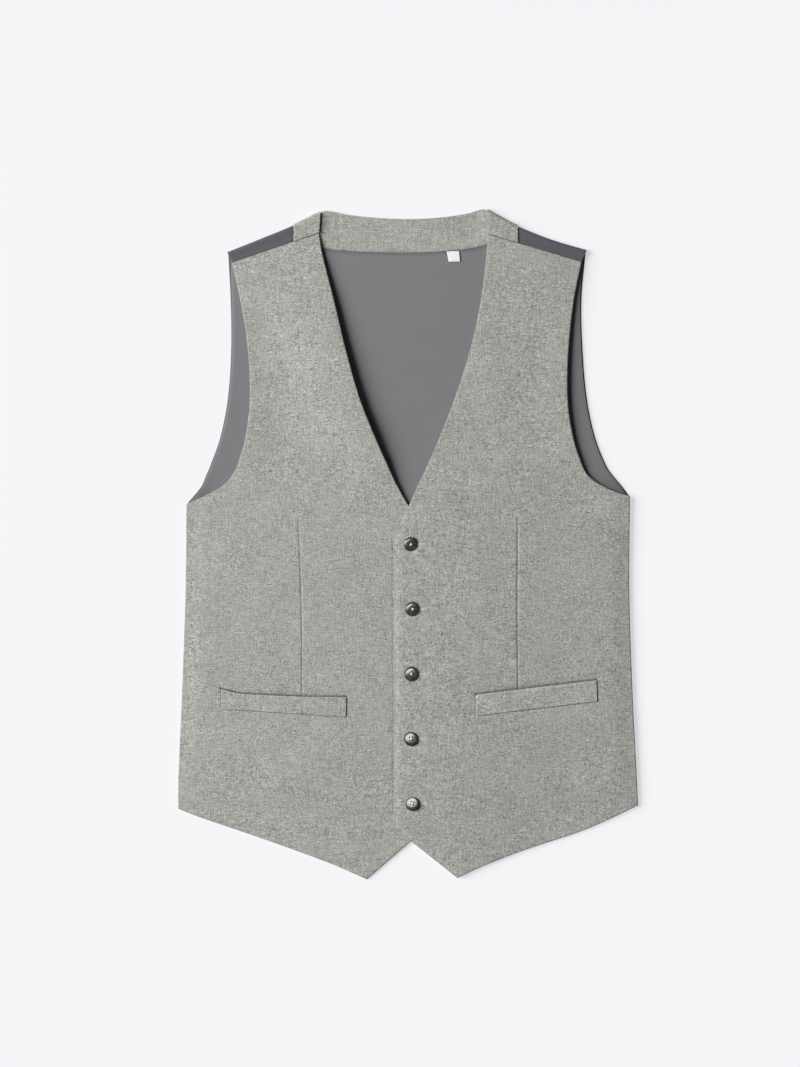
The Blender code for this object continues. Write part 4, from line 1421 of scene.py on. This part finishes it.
def make_table(colours):
    """A white acrylic light table: it glows a little, so that shadows on it stay faint."""
    mesh = bpy.data.meshes.new("light_table")
    corners = [(x * TABLE_HALF, y * TABLE_HALF, -TABLE_DROP)
               for x, y in ((-1, -1), (1, -1), (1, 1), (-1, 1))]
    mesh.from_pydata(corners, [], [(0, 1, 2, 3)])
    made = in_scene("light_table", mesh)
    acrylic, tree, shader, place = new_material("white_acrylic", {
        "Base Color": [part * TABLE_DIFFUSE for part in colours.table] + [1],
        "Emission Color": list(colours.table) + [1], "Roughness": 1.0, "Specular IOR Level": 0.0})
    place = add(tree, "ShaderNodeSeparateXYZ", inputs={0: place})
    glow = TABLE_GLOW
    for axis, change in (("X", TABLE_GLOW_ACROSS), ("Y", TABLE_GLOW_UP)):
        reach = TABLE_REACH * change
        part = add(tree, "ShaderNodeMapRange", inputs={
            "Value": place.outputs[axis], "From Min": -TABLE_REACH, "From Max": TABLE_REACH,
            "To Min": -reach, "To Max": reach})
        glow = add(tree, "ShaderNodeMath", {"operation": "ADD"}, {
            0: part.outputs[0], 1: glow}).outputs[0]
    tree.links.new(glow, shader.inputs["Emission Strength"])
    mesh.materials.append(acrylic)


def area_lamp(name, shape, size, power, place):
    """A lamp that is turned to the middle of the table."""
    lamp = bpy.data.lights.new(name, "AREA")
    lamp.shape = shape
    lamp.size = size
    lamp.energy = power
    made = in_scene(name, lamp)
    made.location = place
    made.rotation_euler = (-place).to_track_quat("-Z", "Y").to_euler()
    return made


def make_lights():
    """One large softbox on the left, a lamp that only the buttons mirror, and a dim room."""
    turn, rise_angle = math.radians(KEY_TURN), math.radians(KEY_RISE)
    way = Vector((-math.cos(rise_angle) * math.cos(turn), math.cos(rise_angle) * math.sin(turn),
                  math.sin(rise_angle)))
    area_lamp("softbox_left", "SQUARE", KEY_SIZE, KEY_POWER, way * KEY_AWAY)
    gloss = area_lamp("strip_overhead", "DISK", GLOSS_SIZE, GLOSS_POWER, GLOSS_PLACE)
    gloss.visible_camera = False
    polished = bpy.data.collections.new("polished_buttons")
    for number in range(1, len(BUTTONS) + 1):
        polished.objects.link(bpy.data.objects[f"horn_button_{number}"])
    gloss.light_linking.receiver_collection = polished
    world = bpy.data.worlds.new("room")
    bpy.context.scene.world = world
    world.use_nodes = True
    tree = world.node_tree
    back = tree.nodes["Background"]
    back.inputs["Color"].default_value = (*linear("#FAFAFF"), 1)
    seen = add(tree, "ShaderNodeLightPath").outputs["Is Camera Ray"]
    level = add(tree, "ShaderNodeMath", {"operation": "MULTIPLY_ADD"},
                {0: seen, 1: ROOM_SEEN - ROOM_LIGHT, 2: ROOM_LIGHT})
    tree.links.new(level.outputs[0], back.inputs["Strength"])


def make_camera():
    """The camera looks straight down on the laid garment."""
    lens = bpy.data.cameras.new("camera")
    lens.lens = CAMERA_LENS
    made = in_scene("camera", lens)
    made.location = CAMERA_PLACE
    bpy.context.scene.camera = made
    bpy.context.scene.view_settings.view_transform = "Standard"


class WAISTCOAT_PT_panel(bpy.types.Panel):
    """Lists the waistcoat's steps and settings"""
    bl_idname = "WAISTCOAT_PT_panel"
    bl_label = "Suit Waistcoat"
    bl_space_type = "VIEW_3D"
    bl_region_type = "UI"
    bl_category = "Waistcoat"

    def draw(self, context):
        for group in settings(context):
            for name in group.__annotations__:
                self.layout.prop(group, name)
        for step in STEPS:
            self.layout.operator(step.bl_idname)


STEPS = (
    WAISTCOAT_OT_fronts, WAISTCOAT_OT_pockets, WAISTCOAT_OT_back, WAISTCOAT_OT_neck,
    WAISTCOAT_OT_label, WAISTCOAT_OT_buttons, WAISTCOAT_OT_buttonholes, WAISTCOAT_OT_stage,
)
CLASSES = (WaistcoatSizes, WaistcoatColours) + STEPS + (WAISTCOAT_PT_panel,)


def register():
    """Adds the waistcoat's settings, steps and panel."""
    for made in CLASSES:
        bpy.utils.register_class(made)
    bpy.types.Scene.waistcoat_sizes = bpy.props.PointerProperty(type=WaistcoatSizes)
    bpy.types.Scene.waistcoat_colours = bpy.props.PointerProperty(type=WaistcoatColours)


def unregister():
    """Takes them away again."""
    del bpy.types.Scene.waistcoat_sizes
    del bpy.types.Scene.waistcoat_colours
    for made in reversed(CLASSES):
        bpy.utils.unregister_class(made)


# Every sheet's cut: piece, flat width and length in metres, its area, and what it lies on.
Cut = namedtuple("Cut", "piece width length area rests_on")


def main():
    """Makes the waistcoat and its stage."""
    register()
    for step in STEPS:
        group, name = step.bl_idname.split(".")
        getattr(getattr(bpy.ops, group), name)()


if __name__ == "__main__":
    main()
